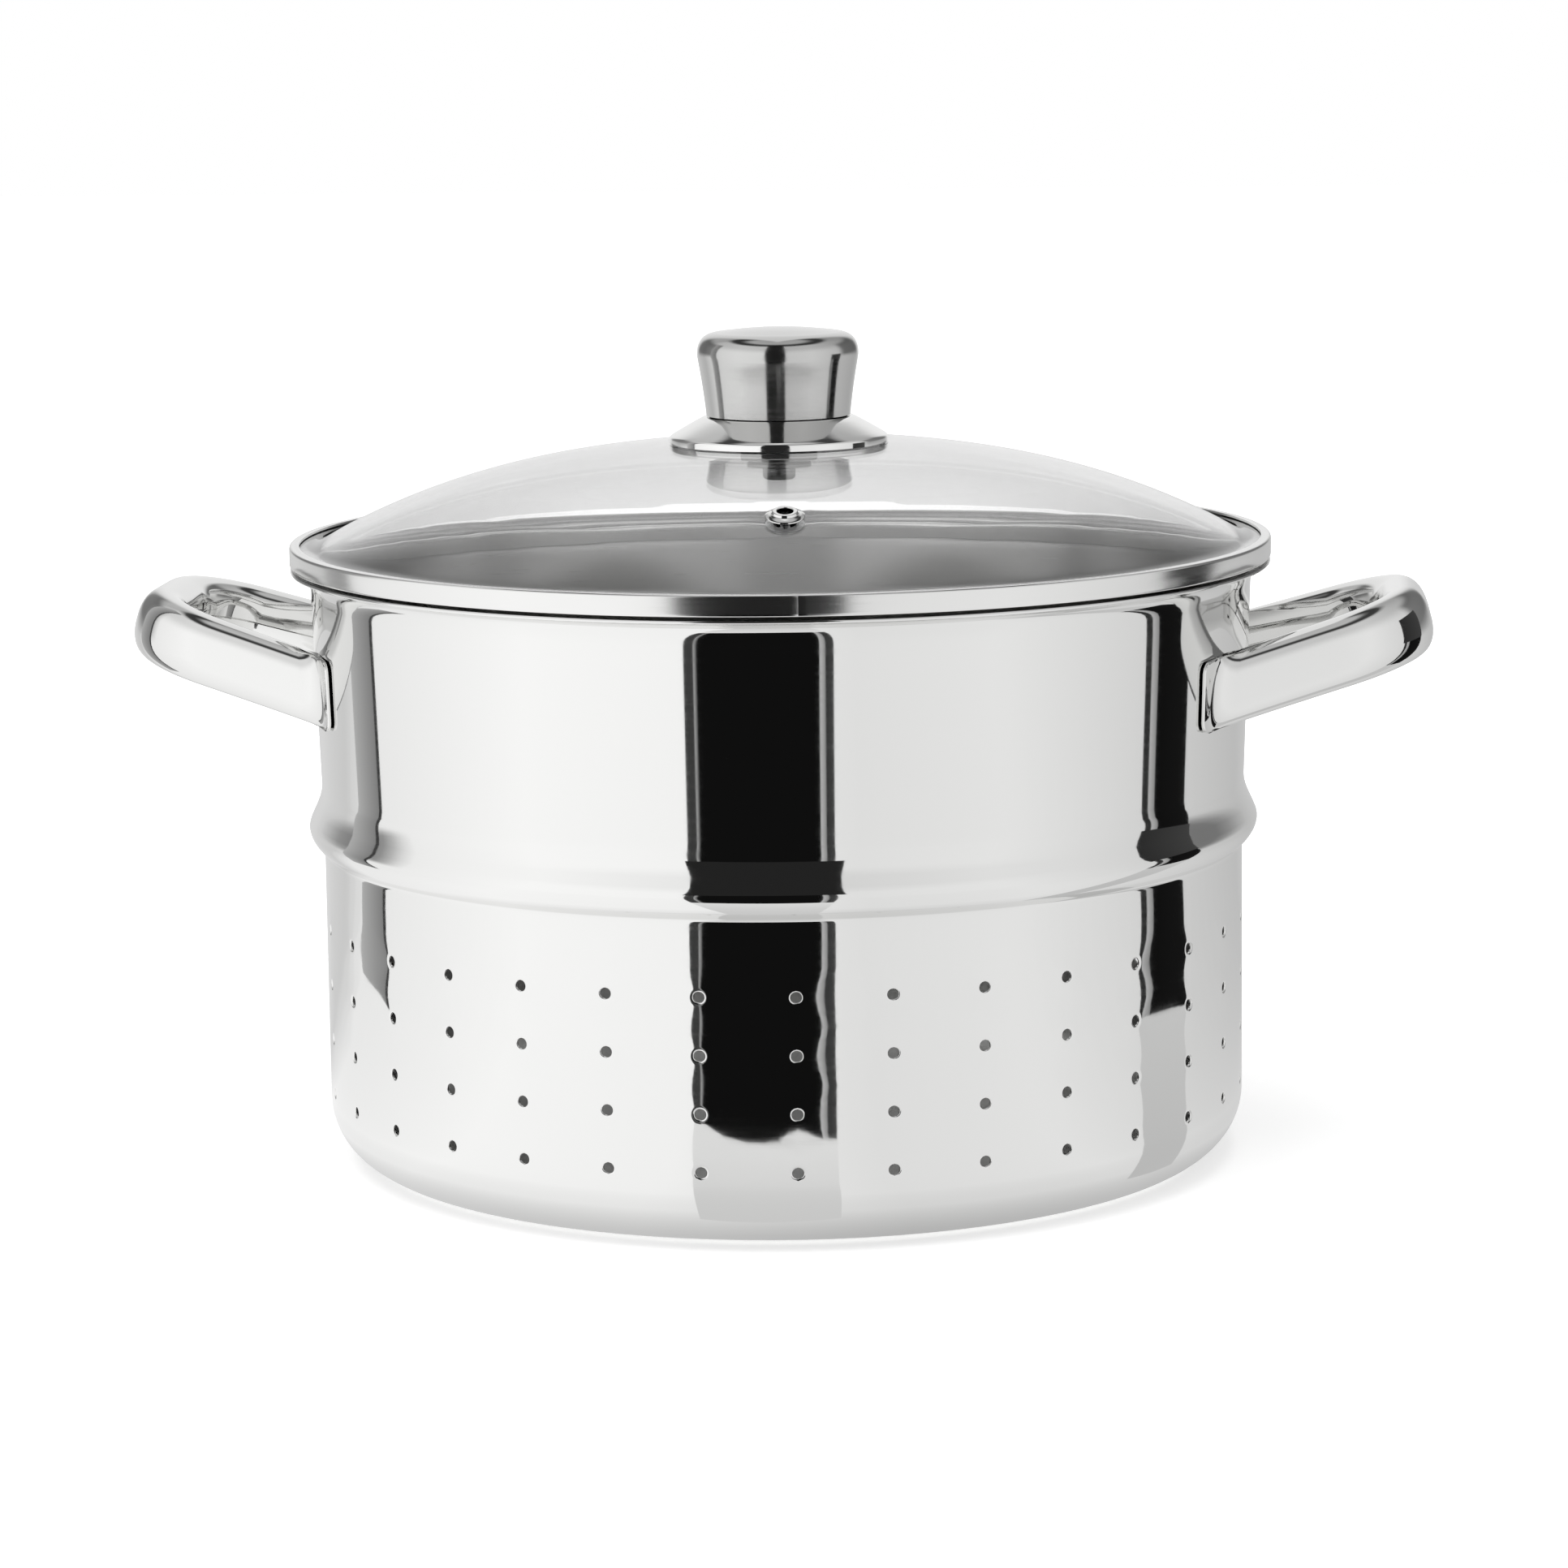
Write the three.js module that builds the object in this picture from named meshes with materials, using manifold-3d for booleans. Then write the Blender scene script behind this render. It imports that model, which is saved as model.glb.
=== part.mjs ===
// Steam juicer basket with a glass lid, in millimetres, +Z up.
// The origin is the middle of the flat base. The two handles lie along +X and -X, the front faces -Y.

import * as THREE from 'three';
import { mergeGeometries, mergeVertices } from 'three/addons/utils/BufferGeometryUtils.js';
import Module from 'manifold-3d';

const wasm = await Module();
wasm.setup();

// Clearance between pieces that touch on the real object.
const SEAT_GAP = 0.3;

// Sides of the large rings, the knob's rings, the small fittings and the punched holes.
const RING_SIDES = 48;
const KNOB_SIDES = 32;
const FITTING_SIDES = 16;
const HOLE_SIDES = 6;

// Steps along the curves: the pressed profiles, the glass dome, and a handle's length and girth.
const PROFILE_STEPS = 4;
const DOME_STEPS = 8;
const HANDLE_STEPS = 26;
const HANDLE_SIDES = 14;

// Basket: drawn from one sheet, with a rounded base corner, a seating bead and a flared lip.
const BASKET_SHEET = 0.8;
const WALL_RADIUS = 129.7;
const BASE_CORNER = 18;
const BEAD_CREST_HEIGHT = 95.8;
const BEAD_BULGE = 4.2;
const BEAD_DROP = 8.8;
const BEAD_SLOPE = 11.7;
const NECK_STEP = 0.4;
const UPPER_WALL_HEIGHT = 55.6;
const UPPER_WALL_FLARE = 1.7;
const LIP_DEPTH = 5.4;
const LIP_FLARE = 5.3;

const NECK_RADIUS = WALL_RADIUS + NECK_STEP;
const MOUTH_RADIUS = NECK_RADIUS + UPPER_WALL_FLARE;
const NECK_HEIGHT = BEAD_CREST_HEIGHT + BEAD_SLOPE;
const LIP_FOOT = NECK_HEIGHT + UPPER_WALL_HEIGHT;
const LIP_TOP = LIP_FOOT + LIP_DEPTH;

// Punched holes: columns round the wall, and rings in the base.
const HOLE_DIAMETER = 3;
const HOLE_COLUMNS = 32;
const HOLE_ROWS = 4;
const HOLE_MARGIN = 4;
const HOLE_ROW_PITCH = 15.6;
const HOLE_BEARING = THREE.MathUtils.degToRad(6.65);
const BASE_HOLE_RINGS = 3;
const BASE_RING_PITCH = 28;
const BASE_RING_STEP = 6;

// Handles: hollow loops of rolled sheet that rise outwards, with a weld tab beside each leg.
const HANDLE_SHEET = 1;
const HANDLE_RISE = 31.3;
const HANDLE_TILT = THREE.MathUtils.degToRad(16.8);
const HANDLE_SPLAY = THREE.MathUtils.degToRad(13);
const HANDLE_LENGTH = 45.8;
const HANDLE_TIP_FLAT = 21;
const HANDLE_BEND = 25;
const HANDLE_ROOT_HALF_HEIGHT = 9.4;
const HANDLE_TIP_HALF_HEIGHT = 9.7;
const HANDLE_ROOT_HALF_DEPTH = 6.1;
const HANDLE_TIP_HALF_DEPTH = 6.9;
const HANDLE_SQUARENESS = 2.6;
const TAB_SHEET = 1;
const TAB_REACH = 7.5;
const TAB_HALF_HEIGHT = 9.8;
const TAB_CORNER = 3;

const HANDLE_HEIGHT = NECK_HEIGHT + HANDLE_RISE;

// Lid: a glass dome with a flat edge, held in a crimped steel band with a locating skirt.
const LID_STANDOFF = 1.5;
const GLASS_THICKNESS = 3.2;
const GLASS_INSET = 0.5;
const GLASS_FLAT = 6;
const DOME_RISE = 27.4;
const DOME_FULLNESS = 2.65;
const BAND_SHEET = 0.6;
const BAND_LIP_GAP = 1.1;
const BAND_BEND = 1.2;
const BAND_SEAT_ANGLE = THREE.MathUtils.degToRad(22);

const GLASS_EDGE_RADIUS = MOUTH_RADIUS + LIP_FLARE - GLASS_INSET;
const GLASS_EDGE_BOTTOM = LIP_TOP + LID_STANDOFF + BAND_SHEET + SEAT_GAP;
const GLASS_EDGE_TOP = GLASS_EDGE_BOTTOM + GLASS_THICKNESS;
const DOME_EDGE_RADIUS = GLASS_EDGE_RADIUS - GLASS_FLAT;

// Steam vent: a tubular eyelet through the glass, rolled over a washer below.
const VENT_RADIUS = 87;
const VENT_BEARING = THREE.MathUtils.degToRad(-83.7);
const VENT_BORE_RADIUS = 2.2;
const VENT_SHEET = 0.6;
const VENT_FLANGE_WIDTH = 2.55;
const VENT_LIP_HEIGHT = 1.1;
const VENT_ROLL_WIDTH = 1.4;
const VENT_WASHER_WIDTH = 2.1;

const VENT_TUBE_RADIUS = VENT_BORE_RADIUS + VENT_SHEET;
const VENT_HOLE_RADIUS = VENT_TUBE_RADIUS + SEAT_GAP;

// Knob: a pressed skirt, a hollow pressed cap, and the parts that clamp them to the glass.
const KNOB_SHEET = 0.8;
const SKIRT_RADIUS = 30.7;
const SKIRT_EDGE = 3;
const SKIRT_RISE = 7.4;
const CAP_FOOT_RADIUS = 20.2;
const CAP_FLARE = 2.5;
const CAP_SIDE_HEIGHT = 17;
const CAP_SHOULDER_HEIGHT = 6.2;
const CAP_SHOULDER_WIDTH = 6.2;
const CAP_CROWN_RISE = 1.2;
const SCREW_RADIUS = 2.4;
const SCREW_GRIP = 12;
const SCREW_HEAD_RIM = 2.2;
const SCREW_HEAD_HEIGHT = 2.8;
const SCREW_HEAD_CHAMFER = 1.4;
const SCREW_SLOT_WIDTH = 1.2;
const SCREW_SLOT_DEPTH = 1.3;
const INSERT_WALL = 3.8;
const INSERT_FLANGE_WIDTH = 5.5;
const INSERT_FLANGE = 3;
const GROMMET_WALL = 2.2;
const GROMMET_FLANGE_WIDTH = 5.5;
const GROMMET_FLANGE = 2;
const GASKET_WIDTH = 11.3;
const WASHER_WIDTH = 6.3;
const WASHER_THICKNESS = 1.2;

const SCREW_CLEAR_RADIUS = SCREW_RADIUS + SEAT_GAP;
const KNOB_HOLE_RADIUS = SCREW_CLEAR_RADIUS + GROMMET_WALL + SEAT_GAP;
const CAP_FULL_RADIUS = CAP_FOOT_RADIUS + CAP_FLARE;
const CAP_CROWN_RADIUS = CAP_FULL_RADIUS - CAP_SHOULDER_WIDTH;

// Finishes, each with the colour, roughness and metalness that the piece shows.
const FINISHES = {
    polishedSteel: { color: 0xd9dadb, roughness: 0.08, metalness: 1 },
    plainSteel: { color: 0xb4b6b8, roughness: 0.35, metalness: 1 },
    clearGlass: { color: 0xe8ecec, roughness: 0.03, metalness: 0 },
    greySilicone: { color: 0xc9cbcb, roughness: 0.6, metalness: 0 },
};

/** A solid from a closed geometry, with its shared vertices merged and its faces pointing out. */
function toSolid(geometry) {
    const bare = geometry.clone();
    bare.deleteAttribute('normal');
    bare.deleteAttribute('uv');
    const merged = mergeVertices(bare);
    const vertProperties = new Float32Array(merged.attributes.position.array);
    const triVerts = new Uint32Array(merged.index.array);
    if (signedVolume(vertProperties, triVerts) < 0) {
        triVerts.reverse();
    }
    return new wasm.Manifold(new wasm.Mesh({ numProp: 3, vertProperties, triVerts }));
}

/** Six times the volume inside a closed triangle mesh, negative if its faces point inwards. */
function signedVolume(positions, triangles) {
    const corner = (index) => new THREE.Vector3().fromArray(positions, 3 * index);
    let sum = 0;
    for (let i = 0; i < triangles.length; i += 3) {
        const [a, b, c] = [0, 1, 2].map((k) => corner(triangles[i + k]));
        sum += a.dot(b.cross(c));
    }
    return sum;
}

/** The geometry of a solid, for a mesh. */
function toGeometry(solid) {
    const { vertProperties, triVerts } = solid.getMesh();
    const geometry = new THREE.BufferGeometry();
    geometry.setAttribute('position', new THREE.BufferAttribute(vertProperties, 3));
    geometry.setIndex(new THREE.BufferAttribute(triVerts, 1));
    geometry.computeVertexNormals();
    return geometry;
}

/** A body turned about Z from a profile of [radius, height] points. */
function turned(profile, sides) {
    const points = profile.map(([radius, height]) => new THREE.Vector2(radius, height));
    return new THREE.LatheGeometry(points, sides).rotateX(Math.PI / 2);
}

/** A ring turned about Z from an outline that closes on itself. */
function turnedRing(outline, sides) {
    return toSolid(turned([...outline, outline[0]], sides));
}

/** A plain washer between two radii and two heights. */
function washer(inner, outer, bottom, top, sides) {
    return turnedRing([[inner, bottom], [outer, bottom], [outer, top], [inner, top]], sides);
}

/** A line of points moved sideways to its left by a distance, with mitred corners. */
function offsetLine(line, distance) {
    return line.map((point, i) => {
        const before = line[Math.max(i - 1, 0)];
        const after = line[Math.min(i + 1, line.length - 1)];
        const into = new THREE.Vector2(point[0] - before[0], point[1] - before[1]).normalize();
        const out = new THREE.Vector2(after[0] - point[0], after[1] - point[1]).normalize();
        const along = into.clone().add(out).normalize();
        const halfTurn = Math.max(along.dot(into), along.dot(out));
        const shift = distance / halfTurn;
        return [point[0] - along.y * shift, point[1] + along.x * shift];
    });
}

/** Points of a quarter ellipse or other curve, from a function of 0 to 1. */
function sweepPoints(steps, pointAt) {
    return Array.from({ length: steps + 1 }, (_, i) => pointAt(i / steps));
}

/** Points of a curve with one control point. */
function bendPoints(start, control, end, steps) {
    const curve = new THREE.QuadraticBezierCurve(
        new THREE.Vector2(...start),
        new THREE.Vector2(...control),
        new THREE.Vector2(...end),
    );
    return curve.getPoints(steps).map((point) => [point.x, point.y]);
}

/** Drops points that repeat the one before them. */
function withoutRepeats(line) {
    return line.filter((point, i) => {
        const before = line[Math.max(i - 1, 0)];
        return i === 0 || point[0] !== before[0] || point[1] !== before[1];
    });
}

/** Outer radius of the upper wall at a height: it widens evenly from the bead to the lip. */
function upperWallRadius(height) {
    return THREE.MathUtils.mapLinear(height, NECK_HEIGHT, LIP_FOOT, NECK_RADIUS, MOUTH_RADIUS);
}

/** The basket's outer line, from the middle of the base to the edge of the lip. */
function basketLine() {
    const quarter = Math.PI / 2;
    const corner = sweepPoints(PROFILE_STEPS + 1, (t) => [
        WALL_RADIUS - BASE_CORNER + BASE_CORNER * Math.sin(t * quarter),
        BASE_CORNER - BASE_CORNER * Math.cos(t * quarter),
    ]);
    const underBead = sweepPoints(PROFILE_STEPS - 1, (t) => [
        WALL_RADIUS + BEAD_BULGE * (1 - (1 - t) ** 2),
        BEAD_CREST_HEIGHT - BEAD_DROP * (1 - t),
    ]);
    const overBead = sweepPoints(PROFILE_STEPS, (t) => [
        NECK_RADIUS + (BEAD_BULGE - NECK_STEP) * Math.cos(t * quarter) ** 2,
        BEAD_CREST_HEIGHT + BEAD_SLOPE * t,
    ]);
    const lip = sweepPoints(PROFILE_STEPS, (t) => [
        MOUTH_RADIUS + LIP_FLARE * Math.sin(t * quarter),
        LIP_TOP - LIP_DEPTH * Math.cos(t * quarter),
    ]);
    return withoutRepeats([[0, 0], ...corner, ...underBead, ...overBead, ...lip]);
}

/** Places a prism for a hole, of which the axis is its local Y. */
function holeCutter(radius, length, place) {
    return new THREE.CylinderGeometry(radius, radius, length, HOLE_SIDES).applyMatrix4(place);
}

/** All the punched holes of the basket as one body of separate prisms. */
function basketHoles() {
    const radius = HOLE_DIAMETER / 2;
    const length = 2 * (BEAD_BULGE + 2 * BASKET_SHEET);
    const cutters = [];
    for (let column = 0; column < HOLE_COLUMNS; column += 1) {
        const bearing = HOLE_BEARING + (column / HOLE_COLUMNS) * 2 * Math.PI;
        for (let row = 0; row < HOLE_ROWS; row += 1) {
            const height = BASE_CORNER + HOLE_MARGIN + row * HOLE_ROW_PITCH;
            const place = new THREE.Matrix4().makeTranslation(0, WALL_RADIUS - BASKET_SHEET / 2, height);
            place.premultiply(new THREE.Matrix4().makeRotationZ(bearing));
            cutters.push(holeCutter(radius, length, place));
        }
    }
    const upright = new THREE.Matrix4().makeRotationX(Math.PI / 2);
    for (let ring = 0; ring < BASE_HOLE_RINGS; ring += 1) {
        const count = Math.max(ring * BASE_RING_STEP, 1);
        for (let i = 0; i < count; i += 1) {
            const bearing = (i / count) * 2 * Math.PI;
            const reach = ring * BASE_RING_PITCH;
            const place = new THREE.Matrix4().makeTranslation(
                reach * Math.cos(bearing),
                reach * Math.sin(bearing),
                BASKET_SHEET / 2,
            );
            cutters.push(holeCutter(radius, length, place.multiply(upright)));
        }
    }
    return toSolid(mergeGeometries(cutters));
}

/** The perforated basket. */
function basketShell() {
    const outer = basketLine();
    const inner = offsetLine(outer, BASKET_SHEET);
    inner[0] = [0, BASKET_SHEET];
    inner[inner.length - 1] = [outer[outer.length - 1][0] - BASKET_SHEET, LIP_TOP];
    return toSolid(turned([...outer, ...inner.reverse()], RING_SIDES)).subtract(basketHoles());
}

/** Everything inside the basket's outer face and a gap round it, to fit the handles to the wall. */
function basketCore(gap) {
    return toSolid(turned([...offsetLine(basketLine(), -gap), [0, LIP_TOP]], RING_SIDES));
}

/** Distance of a leg's middle line from the handle's middle, at the wall. */
function handleHalfWidth() {
    const bendWidth = HANDLE_BEND * (1 / Math.cos(HANDLE_SPLAY) - Math.tan(HANDLE_SPLAY));
    return HANDLE_TIP_FLAT / 2 + bendWidth + HANDLE_LENGTH * Math.tan(HANDLE_SPLAY);
}

/** How far the wall falls back, beside a handle's legs, from where it stands in their middle. */
function wallDip() {
    const wall = upperWallRadius(HANDLE_HEIGHT);
    return wall - Math.sqrt(wall ** 2 - handleHalfWidth() ** 2);
}

/**
 * The line that the middle of a handle's loop follows in its own tilted plane, from leg to leg.
 * The legs lean together outwards, and two bends join them to the straight tip.
 */
function handlePath() {
    const halfWidth = handleHalfWidth();
    const root = -halfWidth / 2;
    const lean = Math.tan(HANDLE_SPLAY);
    const bendStart = HANDLE_LENGTH - HANDLE_BEND * (1 - Math.sin(HANDLE_SPLAY));
    const bendCentre = HANDLE_LENGTH - HANDLE_BEND;
    const turn = Math.PI / 2 - HANDLE_SPLAY;
    const path = new THREE.Path();
    path.moveTo(root, root * lean - halfWidth);
    path.lineTo(bendStart, bendStart * lean - halfWidth);
    path.absarc(bendCentre, -HANDLE_TIP_FLAT / 2, HANDLE_BEND, -turn, 0);
    path.lineTo(HANDLE_LENGTH, HANDLE_TIP_FLAT / 2);
    path.absarc(bendCentre, HANDLE_TIP_FLAT / 2, HANDLE_BEND, 0, turn);
    path.lineTo(root, halfWidth - root * lean);
    return path;
}

/** The rings of points round a handle's loop, drawn in on every side by a sheet thickness. */
function handleRings(inset) {
    const path = handlePath();
    const plane = new THREE.Matrix4()
        .makeTranslation(upperWallRadius(HANDLE_HEIGHT), 0, HANDLE_HEIGHT)
        .multiply(new THREE.Matrix4().makeRotationY(-HANDLE_TILT));
    return sweepPoints(HANDLE_STEPS, (t) => {
        const middle = path.getPointAt(t);
        const along = path.getTangentAt(t);
        const share = THREE.MathUtils.smoothstep(middle.x, 0, HANDLE_LENGTH);
        const depth = THREE.MathUtils.lerp(HANDLE_ROOT_HALF_DEPTH, HANDLE_TIP_HALF_DEPTH, share) - inset;
        const height = THREE.MathUtils.lerp(HANDLE_ROOT_HALF_HEIGHT, HANDLE_TIP_HALF_HEIGHT, share) - inset;
        return Array.from({ length: HANDLE_SIDES }, (_, i) => {
            const angle = (i / HANDLE_SIDES) * 2 * Math.PI;
            const [c, s] = [Math.cos(angle), Math.sin(angle)];
            const across = depth * Math.sign(c) * Math.abs(c) ** (2 / HANDLE_SQUARENESS);
            const up = height * Math.sign(s) * Math.abs(s) ** (2 / HANDLE_SQUARENESS);
            const point = new THREE.Vector3(middle.x + along.y * across, middle.y - along.x * across, up);
            return point.applyMatrix4(plane);
        });
    });
}

/** A closed body through rings of points, with a flat end on the first and the last. */
function loft(rings) {
    const sides = rings[0].length;
    const points = rings.flat();
    const index = [];
    for (let ring = 0; ring < rings.length - 1; ring += 1) {
        for (let side = 0; side < sides; side += 1) {
            const a = ring * sides + side;
            const b = ring * sides + (side + 1) % sides;
            index.push(a, b, b + sides, a, b + sides, a + sides);
        }
    }
    const last = (rings.length - 1) * sides;
    for (let side = 1; side < sides - 1; side += 1) {
        index.push(0, side + 1, side);
        index.push(last, last + side, last + side + 1);
    }
    const geometry = new THREE.BufferGeometry().setFromPoints(points);
    geometry.setIndex(index);
    return toSolid(geometry);
}

/** The weld tab beside one leg: a strip of the sheet that lies along the wall. */
function weldTab(side) {
    const legFace = handleHalfWidth() + wallDip() * Math.tan(HANDLE_SPLAY) + HANDLE_ROOT_HALF_DEPTH;
    const inner = legFace - 2 * HANDLE_SHEET;
    const outer = legFace + TAB_REACH;
    const middle = HANDLE_HEIGHT - wallDip() * Math.tan(HANDLE_TILT);
    const [low, high] = [middle - TAB_HALF_HEIGHT, middle + TAB_HALF_HEIGHT];
    const outline = new THREE.Shape();
    outline.moveTo(side * inner, low);
    outline.lineTo(side * (outer - TAB_CORNER), low);
    outline.quadraticCurveTo(side * outer, low, side * outer, low + TAB_CORNER);
    outline.lineTo(side * outer, high - TAB_CORNER);
    outline.quadraticCurveTo(side * outer, high, side * (outer - TAB_CORNER), high);
    outline.lineTo(side * inner, high);
    const prism = new THREE.ExtrudeGeometry(outline, {
        depth: 2 * WALL_RADIUS,
        bevelEnabled: false,
        curveSegments: PROFILE_STEPS,
    });
    prism.applyMatrix4(new THREE.Matrix4().makeBasis(
        new THREE.Vector3(0, 1, 0),
        new THREE.Vector3(0, 0, 1),
        new THREE.Vector3(1, 0, 0),
    ));
    const ring = basketCore(SEAT_GAP + TAB_SHEET).subtract(basketCore(SEAT_GAP));
    return ring.intersect(toSolid(prism));
}

/** One hollow handle with its two weld tabs, on the +X side. */
function handle() {
    const tube = loft(handleRings(0)).subtract(loft(handleRings(HANDLE_SHEET)));
    return tube.subtract(basketCore(SEAT_GAP)).add(weldTab(1)).add(weldTab(-1));
}

/** Height of the glass's upper face at a radius: the dome falls by a power of the radius. */
function glassTop(radius) {
    return GLASS_EDGE_TOP + DOME_RISE * (1 - (radius / DOME_EDGE_RADIUS) ** DOME_FULLNESS);
}

/** Height of the glass's lower face at a radius on the dome. */
function glassBottom(radius) {
    return glassTop(radius) - GLASS_THICKNESS;
}

/** Angle of the glass's upper face to the level at a radius. */
function glassLean(radius) {
    const fall = DOME_FULLNESS * DOME_RISE / DOME_EDGE_RADIUS;
    return Math.atan(fall * (radius / DOME_EDGE_RADIUS) ** (DOME_FULLNESS - 1));
}

/** Where the vent's axis meets the glass's upper face, with its local Z square to the glass. */
function ventPlace() {
    return new THREE.Matrix4()
        .makeRotationZ(VENT_BEARING)
        .multiply(new THREE.Matrix4().makeTranslation(VENT_RADIUS, 0, glassTop(VENT_RADIUS)))
        .multiply(new THREE.Matrix4().makeRotationY(glassLean(VENT_RADIUS)));
}

/** The glass dome with its flat edge, the knob's hole and the vent's hole. */
function lidGlass() {
    const radiusAt = (t) => THREE.MathUtils.lerp(KNOB_HOLE_RADIUS, DOME_EDGE_RADIUS, t);
    const top = sweepPoints(DOME_STEPS, (t) => [radiusAt(t), glassTop(radiusAt(t))]);
    const bottom = top.map(([radius]) => [radius, glassBottom(radius)]);
    const edge = [
        [GLASS_EDGE_RADIUS - BAND_BEND, GLASS_EDGE_TOP],
        [GLASS_EDGE_RADIUS, GLASS_EDGE_TOP - BAND_BEND],
        [GLASS_EDGE_RADIUS, GLASS_EDGE_BOTTOM + BAND_BEND],
        [GLASS_EDGE_RADIUS - BAND_BEND, GLASS_EDGE_BOTTOM],
    ];
    const dome = turnedRing([...top, ...edge, ...bottom.reverse()], RING_SIDES);
    const depth = 4 * GLASS_THICKNESS;
    const hole = new THREE.CylinderGeometry(VENT_HOLE_RADIUS, VENT_HOLE_RADIUS, depth, FITTING_SIDES);
    hole.rotateX(Math.PI / 2).applyMatrix4(ventPlace());
    return dome.subtract(toSolid(hole));
}

/** Where the band's skirt sits on the round inside of the lip. */
function bandSeat() {
    return [
        MOUTH_RADIUS + (LIP_FLARE - BASKET_SHEET) * Math.sin(BAND_SEAT_ANGLE),
        LIP_TOP - (LIP_DEPTH - BASKET_SHEET) * Math.cos(BAND_SEAT_ANGLE),
    ];
}

/** The crimped band: it grips the glass edge above and below, then turns down into the lip. */
function lidRimBand() {
    const half = BAND_SHEET / 2;
    const over = GLASS_EDGE_TOP + SEAT_GAP + half;
    const under = GLASS_EDGE_BOTTOM - SEAT_GAP - half;
    const web = GLASS_EDGE_RADIUS + SEAT_GAP + half;
    const [seatRadius, seatHeight] = bandSeat();
    const skirt = seatRadius - half;
    const foot = seatHeight + 2 * SEAT_GAP;
    const middle = [
        [DOME_EDGE_RADIUS + BAND_LIP_GAP, over],
        [web - BAND_BEND, over],
        [web, over - BAND_BEND],
        [web, under + BAND_BEND],
        [web - BAND_BEND, under],
        [skirt + BAND_BEND, under],
        [skirt, under - BAND_BEND],
        [skirt, foot],
    ];
    return turnedRing([...offsetLine(middle, half), ...offsetLine(middle, -half).reverse()], RING_SIDES);
}

/** Heights under the vent's flange: the washer's two faces and the rolled end's two faces. */
function ventLevels() {
    const washerTop = -GLASS_THICKNESS - SEAT_GAP;
    const washerBottom = washerTop - VENT_SHEET;
    const rollTop = washerBottom - SEAT_GAP;
    return { washerTop, washerBottom, rollTop, rollBottom: rollTop - VENT_SHEET };
}

/** The eyelet, with its flange on the glass, a raised mouth and a rolled lower end. */
function ventEyelet() {
    const { rollTop, rollBottom } = ventLevels();
    const roll = VENT_TUBE_RADIUS + VENT_ROLL_WIDTH;
    const flange = VENT_TUBE_RADIUS + VENT_FLANGE_WIDTH;
    const flangeTop = SEAT_GAP + VENT_SHEET;
    return turnedRing([
        [VENT_BORE_RADIUS, rollBottom],
        [roll, rollBottom],
        [roll, rollTop],
        [VENT_TUBE_RADIUS, rollTop],
        [VENT_TUBE_RADIUS, SEAT_GAP],
        [flange, SEAT_GAP],
        [flange, flangeTop],
        [VENT_TUBE_RADIUS + VENT_SHEET, flangeTop],
        [VENT_TUBE_RADIUS, flangeTop + VENT_LIP_HEIGHT],
        [VENT_BORE_RADIUS, flangeTop + VENT_LIP_HEIGHT],
    ], FITTING_SIDES);
}

/** The washer that the eyelet is rolled over, under the glass. */
function ventWasher() {
    const { washerTop, washerBottom } = ventLevels();
    const outer = VENT_HOLE_RADIUS + VENT_WASHER_WIDTH;
    return washer(VENT_HOLE_RADIUS, outer, washerBottom, washerTop, FITTING_SIDES);
}

// Heights of the knob's pieces, stacked on the glass from the skirt up and from the glass down.
const SKIRT_FOOT = glassTop(SKIRT_RADIUS) + SEAT_GAP;
const SKIRT_TOP = SKIRT_FOOT + SKIRT_RISE;
const CAP_FOOT = SKIRT_TOP + SEAT_GAP;
const CAP_FULL = CAP_FOOT + CAP_SIDE_HEIGHT;
const CAP_CROWN = CAP_FULL + CAP_SHOULDER_HEIGHT;
const CAP_TOP = CAP_CROWN + CAP_CROWN_RISE;
const GROMMET_TOP = glassBottom(KNOB_HOLE_RADIUS + GROMMET_FLANGE_WIDTH) - SEAT_GAP;
const WASHER_TOP = GROMMET_TOP - GROMMET_FLANGE - SEAT_GAP;
const SCREW_SEAT = WASHER_TOP - WASHER_THICKNESS - SEAT_GAP;
const SCREW_TIP = CAP_FOOT + SCREW_GRIP;

/** The flared skirt: an upright edge, a sloping shoulder and a flat top with the screw's hole. */
function knobSkirt() {
    const shoulder = CAP_FOOT_RADIUS + KNOB_SHEET;
    const outer = [
        [SKIRT_RADIUS, SKIRT_FOOT],
        [SKIRT_RADIUS, SKIRT_FOOT + SKIRT_EDGE],
        [SKIRT_RADIUS - KNOB_SHEET, SKIRT_FOOT + SKIRT_EDGE + KNOB_SHEET],
        [shoulder, SKIRT_TOP],
        [SCREW_CLEAR_RADIUS, SKIRT_TOP],
    ];
    return turnedRing([...outer, ...offsetLine(outer, KNOB_SHEET).reverse()], KNOB_SIDES);
}

/** The hollow cap: slightly waisted sides, a round shoulder and a low crown. */
function knobCap() {
    const foot = [CAP_FOOT_RADIUS, CAP_FOOT];
    const full = [CAP_FULL_RADIUS, CAP_FULL];
    const rim = [CAP_CROWN_RADIUS, CAP_CROWN];
    const side = bendPoints(foot, [CAP_FOOT_RADIUS, CAP_FOOT + CAP_SIDE_HEIGHT / 2], full, PROFILE_STEPS);
    const shoulder = bendPoints(full, [CAP_FULL_RADIUS, CAP_CROWN], rim, PROFILE_STEPS);
    const crown = bendPoints(rim, [CAP_CROWN_RADIUS / 2, CAP_TOP], [0, CAP_TOP], PROFILE_STEPS / 2);
    const outer = withoutRepeats([...side, ...shoulder, ...crown]);
    const inner = offsetLine(outer, KNOB_SHEET);
    inner[0] = [CAP_FOOT_RADIUS - KNOB_SHEET, CAP_FOOT];
    inner[inner.length - 1] = [0, CAP_TOP - KNOB_SHEET];
    return toSolid(turned([...inner.reverse(), ...outer], KNOB_SIDES));
}

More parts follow.
